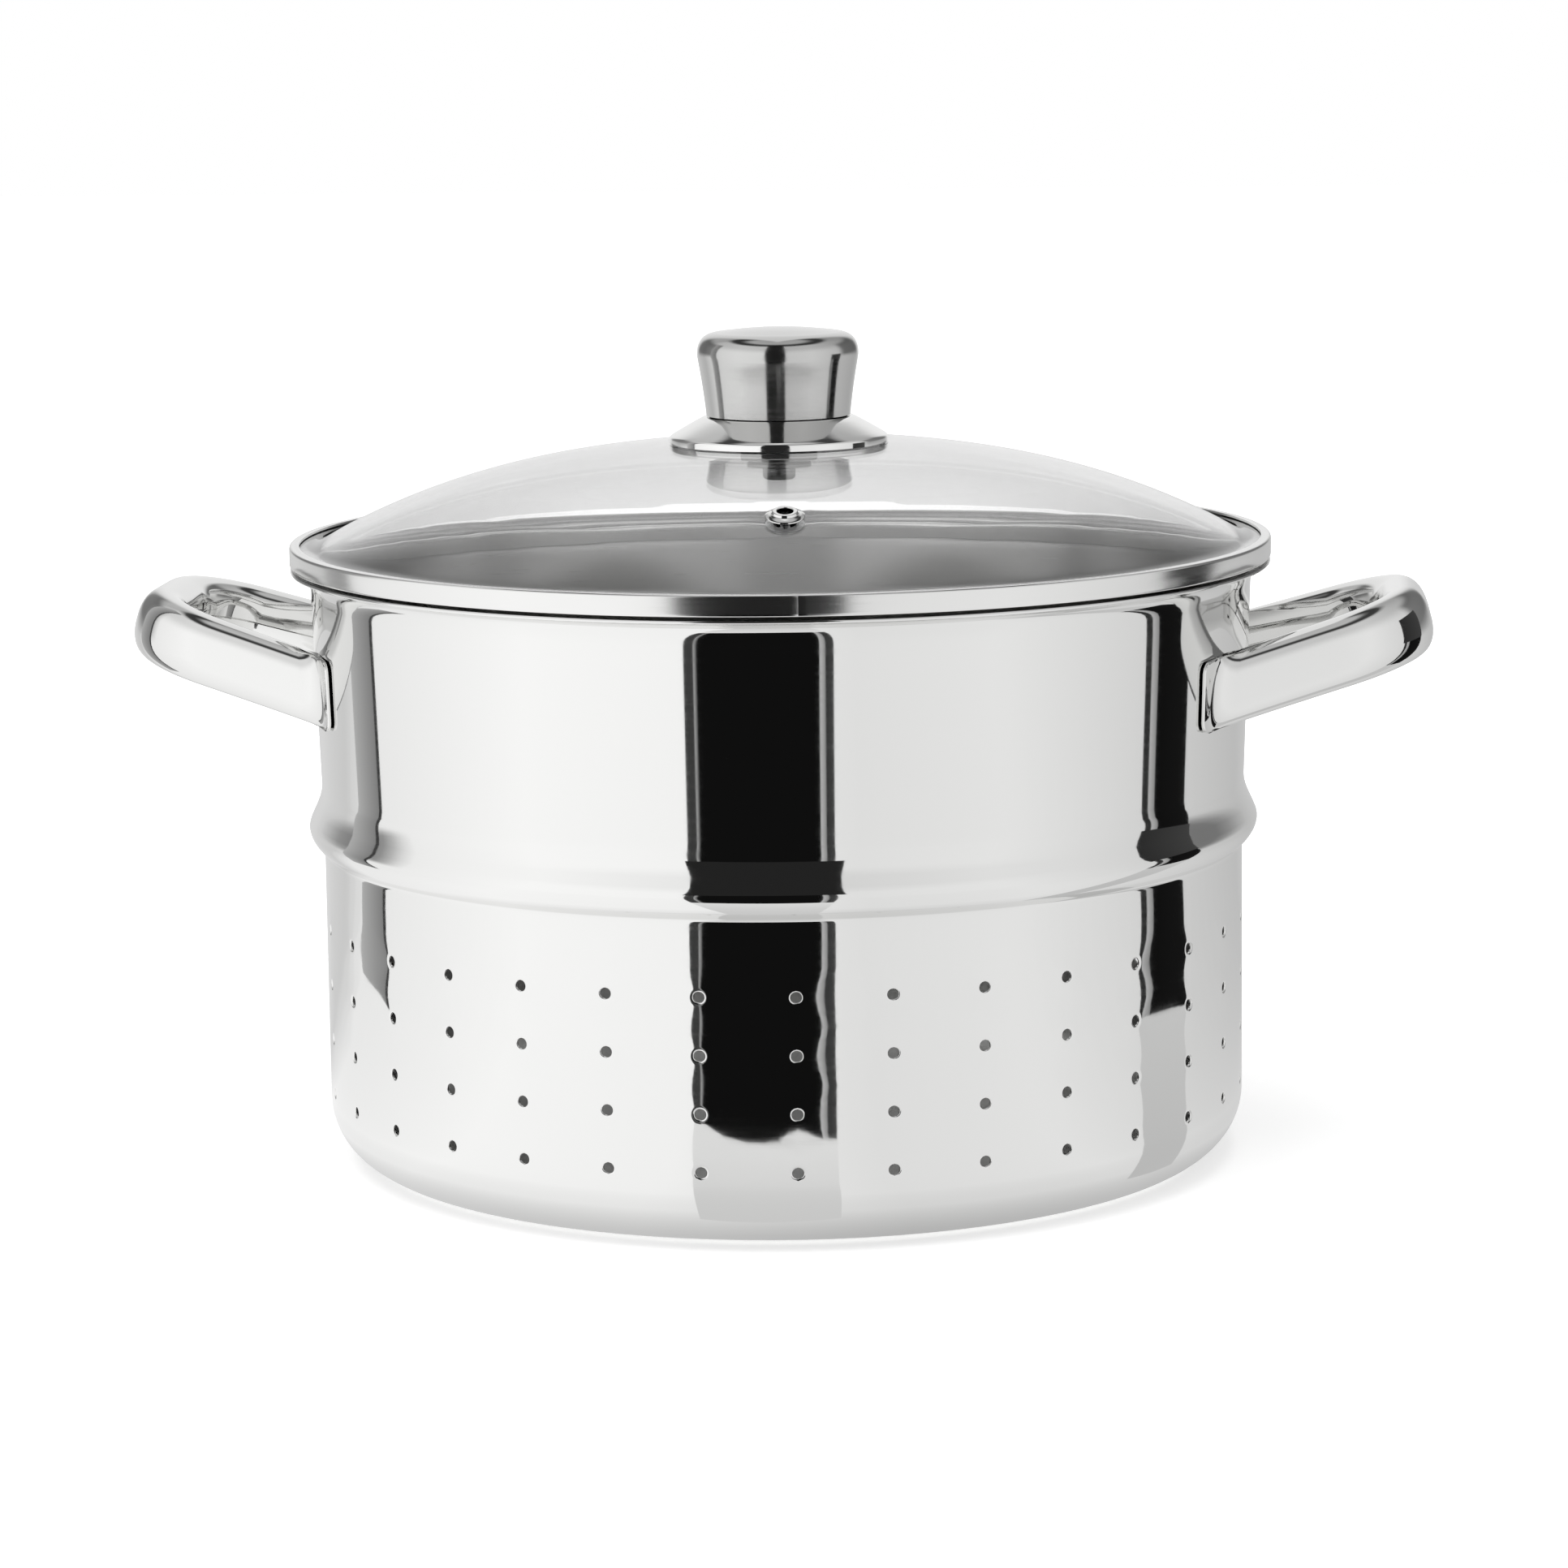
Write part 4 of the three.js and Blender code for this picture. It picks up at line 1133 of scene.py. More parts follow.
@dataclass
class Lid:
    """The glass dome in its crimped band, with the steam vent's eyelet and washer."""

    basket: Basket
    gap: float = 0.3
    standoff: float = 1.7
    glass: float = 3.2
    glass_inset: float = 0.5
    glass_flat: float = 6.0
    dome_rise: float = 27.4
    fullness: float = 2.65
    dome_foot: float = 4.0
    band: float = 0.6
    band_lip: float = 2.5
    band_drop: float = 0.9
    band_skirt: float = 5.2
    band_bend: float = 0.8
    band_heart: float = 2.0
    chamfer: float = 1.2
    seam_angle: float = np.radians(7.3)
    seam_marks_deg: tuple[float, float] = (0.02, 0.06)
    seam_depth: float = 0.03
    knob_hole: float = 5.2
    vent_radius: float = 94.0
    vent_bearing: float = np.radians(-83.7)
    vent_bore: float = 2.2
    vent_sheet: float = 0.6
    vent_flange: float = 2.55
    vent_lip: float = 1.1
    vent_roll: float = 1.4
    vent_washer: float = 2.1
    vent_cell: int = 6
    vent_cell_half: float = 8.5
    vent_rings: tuple[float, ...] = (0.0, 0.3, 1.5)
    flange_edge: float = 0.35
    flange_slope: float = 0.9
    flange_dome: float = 0.25
    lip_foot: float = 0.75
    lip_top: float = 0.45
    eyelet_soft: float = 0.35
    washer_soft: float = 0.2
    dome_steps: tuple[int, int] = (26, 40)
    eyelet_sides: int = 64
    washer_sides: int = 48
    sides: int = 192

    @property
    def edge_radius(self) -> float:
        """Radius of the glass's edge."""
        return self.basket.mouth + self.basket.lip_flare - self.glass_inset

    @property
    def edge_bottom(self) -> float:
        """Height of the underside of the glass's flat edge."""
        return self.basket.lip_top + self.standoff + self.band + self.gap

    @property
    def edge_top(self) -> float:
        """Height of the upper face of the glass's flat edge."""
        return self.edge_bottom + self.glass

    @property
    def dome_edge(self) -> float:
        """Radius where the dome meets the flat edge."""
        return self.edge_radius - self.glass_flat

    def top(self, radius: Array) -> Array:
        """Height of the dome's upper face: it falls by a power of the radius."""
        return self.edge_top + self.dome_rise * (1 - (radius / self.dome_edge) ** self.fullness)

    def lean(self, radius: float) -> float:
        """Angle of the dome's upper face to the level."""
        fall = self.fullness * self.dome_rise / self.dome_edge
        return float(np.arctan(fall * (radius / self.dome_edge) ** (self.fullness - 1)))

    def vent_place(self, local: Array) -> Array:
        """Takes points of the vent's own axis to the part's frame, square to the glass.

        Args:
            local: Points, with Z along the vent's axis and X away from the lid's middle.

        Returns:
            The points in the part's frame.
        """
        lean, turn = self.lean(self.vent_radius), self.vent_bearing
        c, s = np.cos(lean), np.sin(lean)
        x = self.vent_radius + local[..., 0] * c + local[..., 2] * s
        z = self.top(self.vent_radius) - local[..., 0] * s + local[..., 2] * c
        return np.stack([x * np.cos(turn) - local[..., 1] * np.sin(turn),
                         x * np.sin(turn) + local[..., 1] * np.cos(turn), z], -1)

    def glass_surface(self) -> Surface:
        """The dome: two faces a glass thickness apart, a rounded edge, and round holes for knob and vent.

        Returns:
            The glass's surface.
        """
        surface = Surface()
        cell, basket = self.vent_cell, self.basket
        half_turn = np.pi * cell / self.sides
        angles = full_turn(self.sides, self.vent_bearing - half_turn)
        low, high = self.vent_radius - self.vent_cell_half, self.vent_radius + self.vent_cell_half
        inner = np.linspace(self.knob_hole, low, self.dome_steps[0])
        ring = np.linspace(low, high, cell + 1)
        dome = np.linspace(high, self.dome_edge, self.dome_steps[1])
        radius, chamfer = self.edge_radius, self.chamfer
        foot = np.append(np.stack([dome, self.top(dome)], -1), [[radius - chamfer, self.edge_top]], 0)
        foot = thinned(rounded(foot, self.dome_foot, step=0.2), turn_deg=1.5, span=3)
        hole = self.vent_bore + self.vent_sheet + self.gap
        border = basket.cell_border(low, high, half_turn, cell, cell)
        flat = border[:, 1:] * np.stack([np.cos(border[:, 0]), np.sin(border[:, 0])], -1)
        rings = basket.hole_rings(flat, np.array([self.vent_radius, 0.0]), hole + np.array(self.vent_rings),
                                  basket.ring_steps, basket.ring_power)
        c, s = np.cos(self.vent_bearing), np.sin(self.vent_bearing)
        spun = rings @ np.array([[c, s], [-s, c]])
        others = np.append(angles[cell:], angles[0])
        loops = []
        for drop in (0.0, self.glass):
            surface.add(turned(np.stack([inner, self.top(inner) - drop], -1), angles), True)
            surface.add(turned(foot - [0, drop], angles), True)
            surface.add(turned(np.stack([ring, self.top(ring) - drop], -1), others))
            level = self.top(np.hypot(rings[..., 0], rings[..., 1])) - drop
            patch = np.concatenate([spun, level[..., None]], -1)
            surface.add(patch, True)
            loops.append(patch[0])
        surface.add(np.stack(loops), True)
        bore_top = self.top(self.knob_hole)
        bore = np.array([[self.knob_hole, bore_top], [self.knob_hole, bore_top - self.glass]])
        edge = np.array([[radius - chamfer, self.edge_top], [radius, self.edge_top - chamfer],
                         [radius, self.edge_bottom + chamfer], [radius - chamfer, self.edge_bottom]])
        for line in (bore, edge):
            surface.add(turned(line, angles), True)
        return surface

    def band_surface(self) -> Surface:
        """The crimped band: a rolled channel over the glass edge, with a skirt that drops into the mouth.

        A line square to the sheet is carried round, and a narrow groove across it marks the butt weld.

        Returns:
            The band's surface.
        """
        half = self.band / 2
        over = self.edge_top + self.gap + half
        under = self.edge_bottom - self.gap - half - self.band_drop
        web = self.edge_radius + self.gap + half
        skirt = self.basket.mouth - self.basket.sheet - 2 * self.gap - half
        middle = np.array([[web - self.band_lip, over], [web, over], [web, under], [skirt, under],
                           [skirt, under - self.band_skirt]])
        soft = thinned(rounded(middle, self.band_bend, step=0.05), turn_deg=8, span=3)
        inner, outer = beside(soft, -half), beside(soft, half)
        outline = np.concatenate([inner, outer[::-1], inner[:1]])
        near, far = self.seam_marks_deg
        place = self.seam_angle - np.pi / 2
        seam = np.radians(np.array([-far, -near, near, far])) + place
        even = full_turn(self.sides, place + np.pi / self.sides)
        angles = np.sort(np.concatenate([even, seam + 2 * np.pi * (seam < even[0])]))
        off = np.abs((angles - place + np.pi) % (2 * np.pi) - np.pi)
        depth = self.seam_depth * (off < np.radians((near + far) / 2))
        grid = turned(outline, angles)
        way = outline - np.array([web - self.band_heart, (over + under) / 2])
        way = way / np.linalg.norm(way, axis=1, keepdims=True)
        push = -way[:, None, :] * depth[None, :, None]
        grid[..., 0] += push[..., 0] * np.cos(angles)
        grid[..., 1] += push[..., 0] * np.sin(angles)
        grid[..., 2] += push[..., 1]
        surface = Surface()
        surface.add(grid, True)
        return surface

    def vent_surfaces(self) -> tuple[Surface, Surface]:
        """The eyelet with its domed flange and rolled end, and the washer under the glass.

        Returns:
            The eyelet's and the washer's surfaces.
        """
        gap, sheet, bore = self.gap, self.vent_sheet, self.vent_bore
        tube = bore + sheet
        washer_top = -self.glass - gap
        roll_top = washer_top - sheet - gap
        flange = tube + self.vent_flange
        face = gap + sheet
        outline = [[bore, roll_top - sheet], [tube + self.vent_roll, roll_top - sheet],
                   [tube + self.vent_roll, roll_top], [tube, roll_top], [tube, gap], [flange, gap],
                   [flange, gap + self.flange_edge], [flange - self.flange_slope, face + self.flange_dome],
                   [tube + self.lip_foot, face + self.flange_edge],
                   [tube + self.lip_top, face + self.vent_lip], [bore, face + self.vent_lip]]
        eyelet = lathe_ring(outline, self.eyelet_sides, self.eyelet_soft)
        hole = tube + gap
        washer = box_ring(hole, hole + self.vent_washer, washer_top - sheet, washer_top, self.washer_sides,
                          self.washer_soft)
        for surface in (eyelet, washer):
            surface.points = [self.vent_place(points) for points in surface.points]
        return eyelet, washer

    def dress(self, palette: Palette) -> None:
        """Builds glass, band, eyelet and washer and gives each its finish.

        Args:
            palette: The finishes.
        """
        eyelet, washer = self.vent_surfaces()
        for surface, name, node, slot, finish in (
                (self.glass_surface(), "domed_glass", "lid_glass", Slot.GLASS, palette.glass),
                (self.band_surface(), "crimped_band", "lid_rim_band", Slot.POLISHED, palette.band),
                (eyelet, "steam_vent_eyelet", "vent_eyelet", Slot.POLISHED, palette.mirror),
                (washer, "steam_vent_washer", "vent_washer", Slot.PLAIN, palette.plain)):
            place_piece(surface, name, node, Body.LID, [finish.build()])


@dataclass
class Knob:
    """The knob: a pressed skirt and a hollow cap, clamped to the glass by screw, insert and silicone."""

    lid: Lid
    gap: float = 0.3
    sheet: float = 0.8
    skirt_radius: float = 30.7
    skirt_edge: float = 1.9
    skirt_rise: float = 7.4
    edge_round: float = 0.6
    dish_reach: float = 5.0
    dish_drop: float = 2.2
    skirt_soft: float = 1.0
    cap_soft: float = 1.6
    cap_foot: float = 20.2
    cap_flare: float = 2.5
    cap_waist: float = 0.35
    cap_side: float = 17.0
    cap_shoulder: float = 6.2
    cap_shoulder_width: float = 6.2
    cap_crown: float = 1.2
    screw: float = 2.4
    screw_grip: float = 12.0
    screw_rim: float = 2.2
    screw_head: float = 2.8
    screw_chamfer: float = 1.4
    slot_half: float = 0.6
    slot_depth: float = 1.3
    slot_reach: float = 0.9
    slot_powers: tuple[float, float] = (0.5, 0.3)
    insert_wall: float = 3.8
    insert_flange: float = 5.5
    insert_flange_height: float = 3.0
    grommet_wall: float = 2.2
    grommet_width: float = 5.5
    grommet_flange: float = 2.0
    gasket_width: float = 11.3
    washer_width: float = 6.3
    washer_height: float = 1.2
    silicone_soft: float = 0.5
    washer_soft: float = 0.3
    sides: int = 128
    small_sides: int = 64
    head_steps: int = 6
    insert_sides: int = 48

    @property
    def skirt_foot(self) -> float:
        """Height of the skirt's foot, a gap above the glass."""
        return float(self.lid.top(self.skirt_radius)) + self.gap

    @property
    def skirt_top(self) -> float:
        """Height of the skirt's flat top."""
        return self.skirt_foot + self.skirt_rise

    @property
    def cap_bottom(self) -> float:
        """Height of the cap's foot."""
        return self.skirt_top + self.gap

    @property
    def cap_top(self) -> float:
        """Height of the cap's crown."""
        return self.cap_bottom + self.cap_side + self.cap_shoulder + self.cap_crown

    @property
    def clear(self) -> float:
        """Radius of the holes that the screw passes."""
        return self.screw + self.gap

    @property
    def hole(self) -> float:
        """Radius of the hole in the glass."""
        return self.clear + self.grommet_wall + self.gap

    @property
    def grommet_top(self) -> float:
        """Height of the grommet's flange, a gap under the glass."""
        return float(self.lid.top(self.hole + self.grommet_width)) - self.lid.glass - self.gap

    def skirt_surface(self) -> Surface:
        """The skirt: an upright edge, a softly dished shoulder and a flat top with the screw's hole.

        Returns:
            The skirt's surface.
        """
        foot, top, radius = self.skirt_foot, self.skirt_top, self.skirt_radius
        slope = bend_curve((radius - self.sheet, foot + self.skirt_edge + self.edge_round * self.sheet),
                           (self.cap_foot + self.dish_reach, top - self.dish_drop),
                           (self.cap_foot + self.sheet, top))
        edge = [[radius, foot], [radius, foot + self.skirt_edge]]
        outer = np.concatenate([edge, slope, [[self.clear, top]]])
        soft = thinned(rounded(outer, self.skirt_soft), turn_deg=5, span=4)
        soft[:, 0] = np.minimum(soft[:, 0], radius)
        inner = beside(soft, self.sheet)
        inner[0] = [radius - self.sheet, foot]
        inner[-1] = [self.clear, top - self.sheet]
        return lathe(np.concatenate([soft, inner[::-1], soft[:1]]), self.sides)

    def cap_surface(self) -> Surface:
        """The hollow cap: sides that flare upwards, a round shoulder and a low crown.

        Returns:
            The cap's surface.
        """
        foot, full, rim = self.cap_bottom, self.cap_bottom + self.cap_side, self.cap_top - self.cap_crown
        wide = self.cap_foot + self.cap_flare
        crown = wide - self.cap_shoulder_width
        waist = (self.cap_foot + self.cap_waist * self.cap_flare, foot + self.cap_side / 2)
        side = bend_curve((self.cap_foot, foot), waist, (wide, full))
        shoulder = bend_curve((wide, full), (wide, rim), (crown, rim))
        top = bend_curve((crown, rim), (crown / 2, self.cap_top), (0.0, self.cap_top))
        line = np.concatenate([side, shoulder[1:], top[1:]])
        soft = thinned(rounded(line, self.cap_soft), turn_deg=3, span=2.5)
        soft[-1] = [0.0, min(soft[-1, 1], self.cap_top)]
        inner = beside(soft, self.sheet)
        inner[0] = [self.cap_foot - self.sheet, foot]
        inner[-1] = [0.0, soft[-1, 1] - self.sheet]
        return lathe(np.concatenate([inner[::-1], soft]), self.sides)

    def insert_surface(self) -> Surface:
        """The threaded insert inside the cap, with its foot on the skirt.

        Returns:
            The insert's surface.
        """
        radius = self.clear + self.insert_wall
        flange, foot = radius + self.insert_flange, self.cap_bottom
        roof, shelf = foot + self.screw_grip + self.gap, foot + self.insert_flange_height
        top = self.cap_top - self.sheet - 2 * self.gap
        line = np.array([[0, roof], [self.clear, roof], [self.clear, foot], [flange, foot], [flange, shelf],
                         [radius, shelf], [radius, top], [0, top]])
        return lathe(line, self.insert_sides)

    def gasket_surface(self) -> Surface:
        """The silicone seat between the glass and the skirt's top.

        Returns:
            The seat's surface.
        """
        bottom, top = float(self.lid.top(self.hole)) + self.gap, self.skirt_top - self.sheet - self.gap
        wide = self.clear + self.gasket_width
        return box_ring(self.clear, wide, bottom, top, self.small_sides, self.silicone_soft)

    def grommet_surface(self) -> Surface:
        """The silicone grommet: a flange under the glass and a sleeve through the hole.

        Returns:
            The grommet's surface.
        """
        sleeve, flange = self.clear + self.grommet_wall, self.hole + self.grommet_width
        shelf, high = self.grommet_top, float(self.lid.top(self.hole))
        low = shelf - self.grommet_flange
        outline = [[self.clear, low], [flange, low], [flange, shelf], [sleeve, shelf], [sleeve, high],
                   [self.clear, high]]
        return lathe_ring(outline, self.small_sides, self.silicone_soft)

    def washer_surface(self) -> Surface:
        """The steel washer under the grommet.

        Returns:
            The washer's surface.
        """
        top = self.grommet_top - self.grommet_flange - self.gap
        wide, low = self.clear + self.washer_width, top - self.washer_height
        return box_ring(self.clear, wide, low, top, self.small_sides, self.washer_soft)

    def screw_surface(self) -> Surface:
        """The slotted screw: loops from the slot's floor over the head to the tip.

        Returns:
            The screw's surface.
        """
        seat = self.grommet_top - self.grommet_flange - self.washer_height - 2 * self.gap
        head, low = self.screw + self.screw_rim, seat - self.screw_head
        around = full_turn(self.small_sides)
        face = head - self.screw_chamfer
        circle = np.stack([np.cos(around), np.sin(around)], -1)
        half = np.array([self.slot_reach * face, self.slot_half])
        slot = half * np.sign(circle) * np.abs(circle) ** self.slot_powers
        dome = np.linspace(0, np.pi / 2, self.head_steps)
        shoulder = np.stack([face + self.screw_chamfer * np.sin(dome),
                             low + self.screw_chamfer * (1 - np.cos(dome))], -1)
        shank = [[head, seat], [self.screw, seat], [self.screw, self.cap_bottom + self.screw_grip]]
        slot_rings = [np.insert(slot, 2, level, axis=1) for level in (low + self.slot_depth, low)]
        surface = Surface()
        surface.tube(np.concatenate([slot_rings, turned(np.concatenate([shoulder, shank]), around)]))
        return surface

    def dress(self, palette: Palette) -> None:
        """Builds the knob's pieces and gives each its finish.

        Args:
            palette: The finishes.
        """
        plain, silicone = palette.plain.build(), palette.silicone.build()
        skirt, cap = palette.skirt.build(), palette.knob.build()
        for surface, name, node, slot, material in (
                (self.skirt_surface(), "knob_pressed_skirt", "knob_skirt", Slot.POLISHED, skirt),
                (self.cap_surface(), "knob_hollow_cap", "knob_cap", Slot.POLISHED, cap),
                (self.insert_surface(), "knob_threaded_insert", "knob_insert", Slot.PLAIN, plain),
                (self.gasket_surface(), "knob_silicone_seat", "knob_gasket", Slot.SILICONE, silicone),
                (self.grommet_surface(), "knob_silicone_grommet", "knob_grommet", Slot.SILICONE, silicone),
                (self.washer_surface(), "knob_steel_washer", "knob_washer", Slot.PLAIN, plain),
                (self.screw_surface(), "knob_slotted_screw", "knob_screw", Slot.PLAIN, plain)):
            place_piece(surface, name, node, Body.LID, [material])


@dataclass(frozen=True)
class Card:
    """An upright card of the studio between two places on the floor, with a level at each of its ends."""

    name: str
    start: tuple[float, float]
    end: tuple[float, float]
    levels: tuple[float, float]
    low: float = 0.0
    high: float = 420.0


@dataclass(frozen=True)
class Fade:
    """A soft edge between 0 and 1 in the light tent, in degrees: it falls where its width is negative."""

    start: float
    width: float

    def at(self, value: Array) -> Array:
        """The share at a value: 0 before the start and 1 past the width."""
        return smooth_step((value - self.start) / self.width)


@dataclass
class Studio:
    """The plain floor, the soft light, the boards that polished steel mirrors, and the camera.

    Boards are laid out as the camera sees them: X to its right, Y away from it, with the basket's axis at the
    origin. The object is turned against that by the angle turn.
    """

    turn: float = np.radians(5.45)
    distance: float = 1418.1
    height: float = 334.9
    lens: float = 116.37
    sensor: float = 36.0
    view_end: float = 100.0
    pitch: float = 0.161463
    roll: float = -0.012315
    yaw: float = 0.0002
    tent_radius: float = 900.0
    tent_steps: tuple[float, float] = (4.0, 2.5)
    tent_wall: tuple[tuple[float, float], ...] = (
        (-180, 0.6), (-150, 0.75), (-128, 0.7), (-112, 1.0), (-60, 1.17), (-20, 1.12), (15, 0.92), (50, 0.97),
        (100, 0.76), (140, 0.58), (180, 0.62))
    tent_fall: float = 0.25
    tent_dim: float = 0.7
    tent_roof: float = 0.55
    tent_rear: float = 0.92
    dark: float = 0.05
    wall_fade: Fade = Fade(28, 20)
    screen_sides: tuple[Fade, Fade] = (Fade(95, 15), Fade(158, -12))
    screen_ends: tuple[Fade, Fade] = (Fade(6, 10), Fade(48, -10))
    rear_fades: tuple[Fade, Fade] = (Fade(150, 15), Fade(4, 10))
    gap_fades: tuple[Fade, Fade] = (Fade(58, 5), Fade(76, -8))
    roof_fade: Fade = Fade(68, 12)
    # Levels of the mirrored floor sheet by radius: darker near the basket, a painted contact shadow.
    sheet_contact_shadow: tuple[tuple[float, float], ...] = (
        (118, 0.55), (135, 0.88), (160, 0.97), (220, 0.98), (900, 1.0))
    sheet_height: float = 1.0
    patch_height: float = 1.5
    mirror_depth: float = 0.5
    floor_colour: str = "F4F4F4"
    floor_half: float = 6000.0
    floor_near: float = 0.25
    floor_far: float = 0.6
    floor_glow: float = 0.45
    sky_level: float = 0.55
    lamp_size: tuple[float, float] = (1.6, 1.2)
    lamp_watts: float = 14.0
    lamp_place: tuple[float, float, float] = (-0.25, -0.35, 1.5)
    front: float = -250.0
    right: float = 340.0
    left: float = -300.0
    front_high: float = 139.0
    right_high: float = 140.0

    def cards(self) -> tuple[Card, ...]:
        """The upright cards: edged black stripes in front and at the right, and a panel at the left.

        Returns:
            The cards.
        """
        y, right, left, top = self.front, self.right, self.left, self.front_high
        right_top = self.right_high
        return (Card("front_black", (-66, y), (28.5, y), (0.006, 0.006), 0, top),
                Card("front_left_line", (-69, y), (-66, y), (0.5, 0.05), 0, top),
                Card("front_left_strip", (-77.5, y), (-69, y), (0.05, 0.05), 0, top),
                Card("front_right_line", (28.5, y), (33, y), (0.6, 0.3), 0, top),
                Card("front_right_strip", (33, y), (39.5, y), (0.04, 0.06), 0, top),
                Card("front_top", (-80, y), (47, y), (0.02, 0.02), top, 640),
                Card("right_strip", (right, -51), (right, -39), (0.03, 0.03), 0, right_top),
                Card("right_line", (right, -39), (right, -26), (0.55, 0.3), 0, right_top),
                Card("right_black", (right, -26), (right, 46), (0.006, 0.01), 0, right_top),
                Card("right_top", (right, -57), (right, 50), (0.03, 0.06), right_top, 230),
                Card("left_line", (left, 26), (left, 33), (0.05, 0.05), 14),
                Card("left_panel", (left, 33), (left, 95), (0.26, 0.5), 14))

    def patches(self) -> tuple[tuple[str, list, list], ...]:
        """The darker patches of the floor under the cards' feet: painted shadows of the cards, which only
        mirrors show.

        Returns:
            For each its name, its corners and the levels of its far and near side.
        """
        y, right = self.front, self.right
        return (("front_shade", [[(-77.5, y), (39.5, y)], [(-25, -127), (15, -129)]], [[0.9], [0.72]]),
                ("right_shade", [[(right, -51), (right, 46)], [(99, -84), (113, -64)]], [[0.68], [0.6]]))

    def to_object(self, points: Array) -> Array:
        """Turns points of the camera's layout into the part's frame."""
        c, s = np.cos(self.turn), np.sin(self.turn)
        return points @ np.array([[c, s, 0], [-s, c, 0], [0, 0, 1]])

    def board(self, name: str, grid: Array, levels: Array) -> None:
        """Adds a board that only mirrors show: no camera, shadow or diffuse light meets it.

        Light that passed the glass meets it once a mirror has turned that light, and otherwise goes through.

        Args:
            name: The board's name.
            grid: Its points in the camera's layout.
            levels: How bright each point is, where 1 is white.
        """
        surface = Surface()
        surface.add(self.to_object(grid))
        material, tree = new_material(f"{name}_card")
        level = add_node(tree, "Attribute", {"attribute_name": "level"})
        glow = add_node(tree, "Emission", {"Color": WHITE}, {"Strength": level.outputs["Fac"]})
        path = add_node(tree, "LightPath")
        mirrored = add_node(tree, "Math", {"operation": "GREATER_THAN", 1: self.mirror_depth},
                            {0: path.outputs["Glossy Depth"]})
        clear = add_node(tree, "BsdfTransparent")
        either = add_node(tree, "MixShader", None,
                          {0: mirrored, 1: clear, 2: glow})
        add_node(tree, "OutputMaterial", None, {"Surface": either})
        mesh = surface.mesh(name, np.broadcast_to(levels, grid.shape[:2]))
        mesh.materials.append(material)
        board = new_object(name, mesh)
        board.visible_camera = False
        board.visible_diffuse = False
        board.visible_shadow = False

    def tent_level(self, bearing: Array, rise: Array) -> Array:
        """How bright the light tent is in a direction.

        The wall is bright at the left of the camera, and falls off round to the back and upwards. Dim screens
        stand behind the object's sides, with a white rear wall between them. A dark gap with soft edges is
        left between the wall and the grey roof.

        Args:
            bearing: Degrees from the camera, to its right.
            rise: Degrees above the floor.

        Returns:
            The level of each direction.
        """
        marks, levels = np.array(self.tent_wall).T
        off = np.abs(bearing)
        wall = np.interp(bearing, marks, levels) * (1 - self.tent_fall * self.wall_fade.at(rise))
        screen = self.screen_sides[0].at(off) * self.screen_sides[1].at(off)
        screen = screen * self.screen_ends[0].at(rise) * self.screen_ends[1].at(rise)
        rear = self.rear_fades[0].at(off) * self.rear_fades[1].at(rise)
        gap = self.gap_fades[0].at(rise) * self.gap_fades[1].at(rise)
        level = wall * (1 - self.tent_dim * screen)
        level = level + (self.tent_roof - level) * self.roof_fade.at(rise)
        level = level + (self.dark - level) * gap
        return level + (self.tent_rear - level) * rear

    def tent(self) -> None:
        """Adds the light tent with its floor sheet, darkened near the basket as a painted contact shadow, and
        the dark cards that the steel mirrors.
        """
        bearing = np.arange(-180, 181, self.tent_steps[0])
        around = np.radians(bearing - 90)
        rise = np.arange(0, 91, self.tent_steps[1])
        arc = self.tent_radius * np.stack([np.cos(np.radians(rise)), np.sin(np.radians(rise))], -1)
        self.board("light_tent", turned(arc, around), self.tent_level(bearing[None, :], rise[:, None]))
        # The floor sheet hides the floor's own shadow from mirrors, so its levels paint a contact shadow near
        # the basket.
        radii, shade = np.array(self.sheet_contact_shadow).T
        sheet = np.stack([radii, np.full_like(radii, self.sheet_height)], -1)
        foot = self.tent_level(bearing, np.zeros_like(bearing))
        self.board("tent_floor", turned(sheet, around), shade[:, None] * foot)
        for card in self.cards():
            grid = np.array([[(*card.start, z), (*card.end, z)] for z in (card.low, card.high)], float)
            self.board(card.name, grid, np.array([card.levels, card.levels]))
        # Painted shadows of the cards on the floor, seen only in mirrors.
        for name, corners, levels in self.patches():
            grid = np.insert(np.array(corners, float), 2, self.patch_height, axis=-1)
            self.board(name, grid, np.array(levels))

    @staticmethod
    def seen(tree: bpy.types.NodeTree) -> bpy.types.Node:
        """Adds nodes that tell what the eye sees, straight, in a mirror or through glass, from other light.

        Args:
            tree: The node tree.

        Returns:
            A node whose value is 1 for what is seen and 0 for other light.
        """
        path = add_node(tree, "LightPath")
        through = add_node(tree, "Math", {"operation": "MAXIMUM"},
                           {0: path.outputs["Is Camera Ray"], 1: path.outputs["Is Transmission Ray"]})
        return add_node(tree, "Math", {"operation": "MAXIMUM"},
                        {0: through, 1: path.outputs["Is Glossy Ray"]})

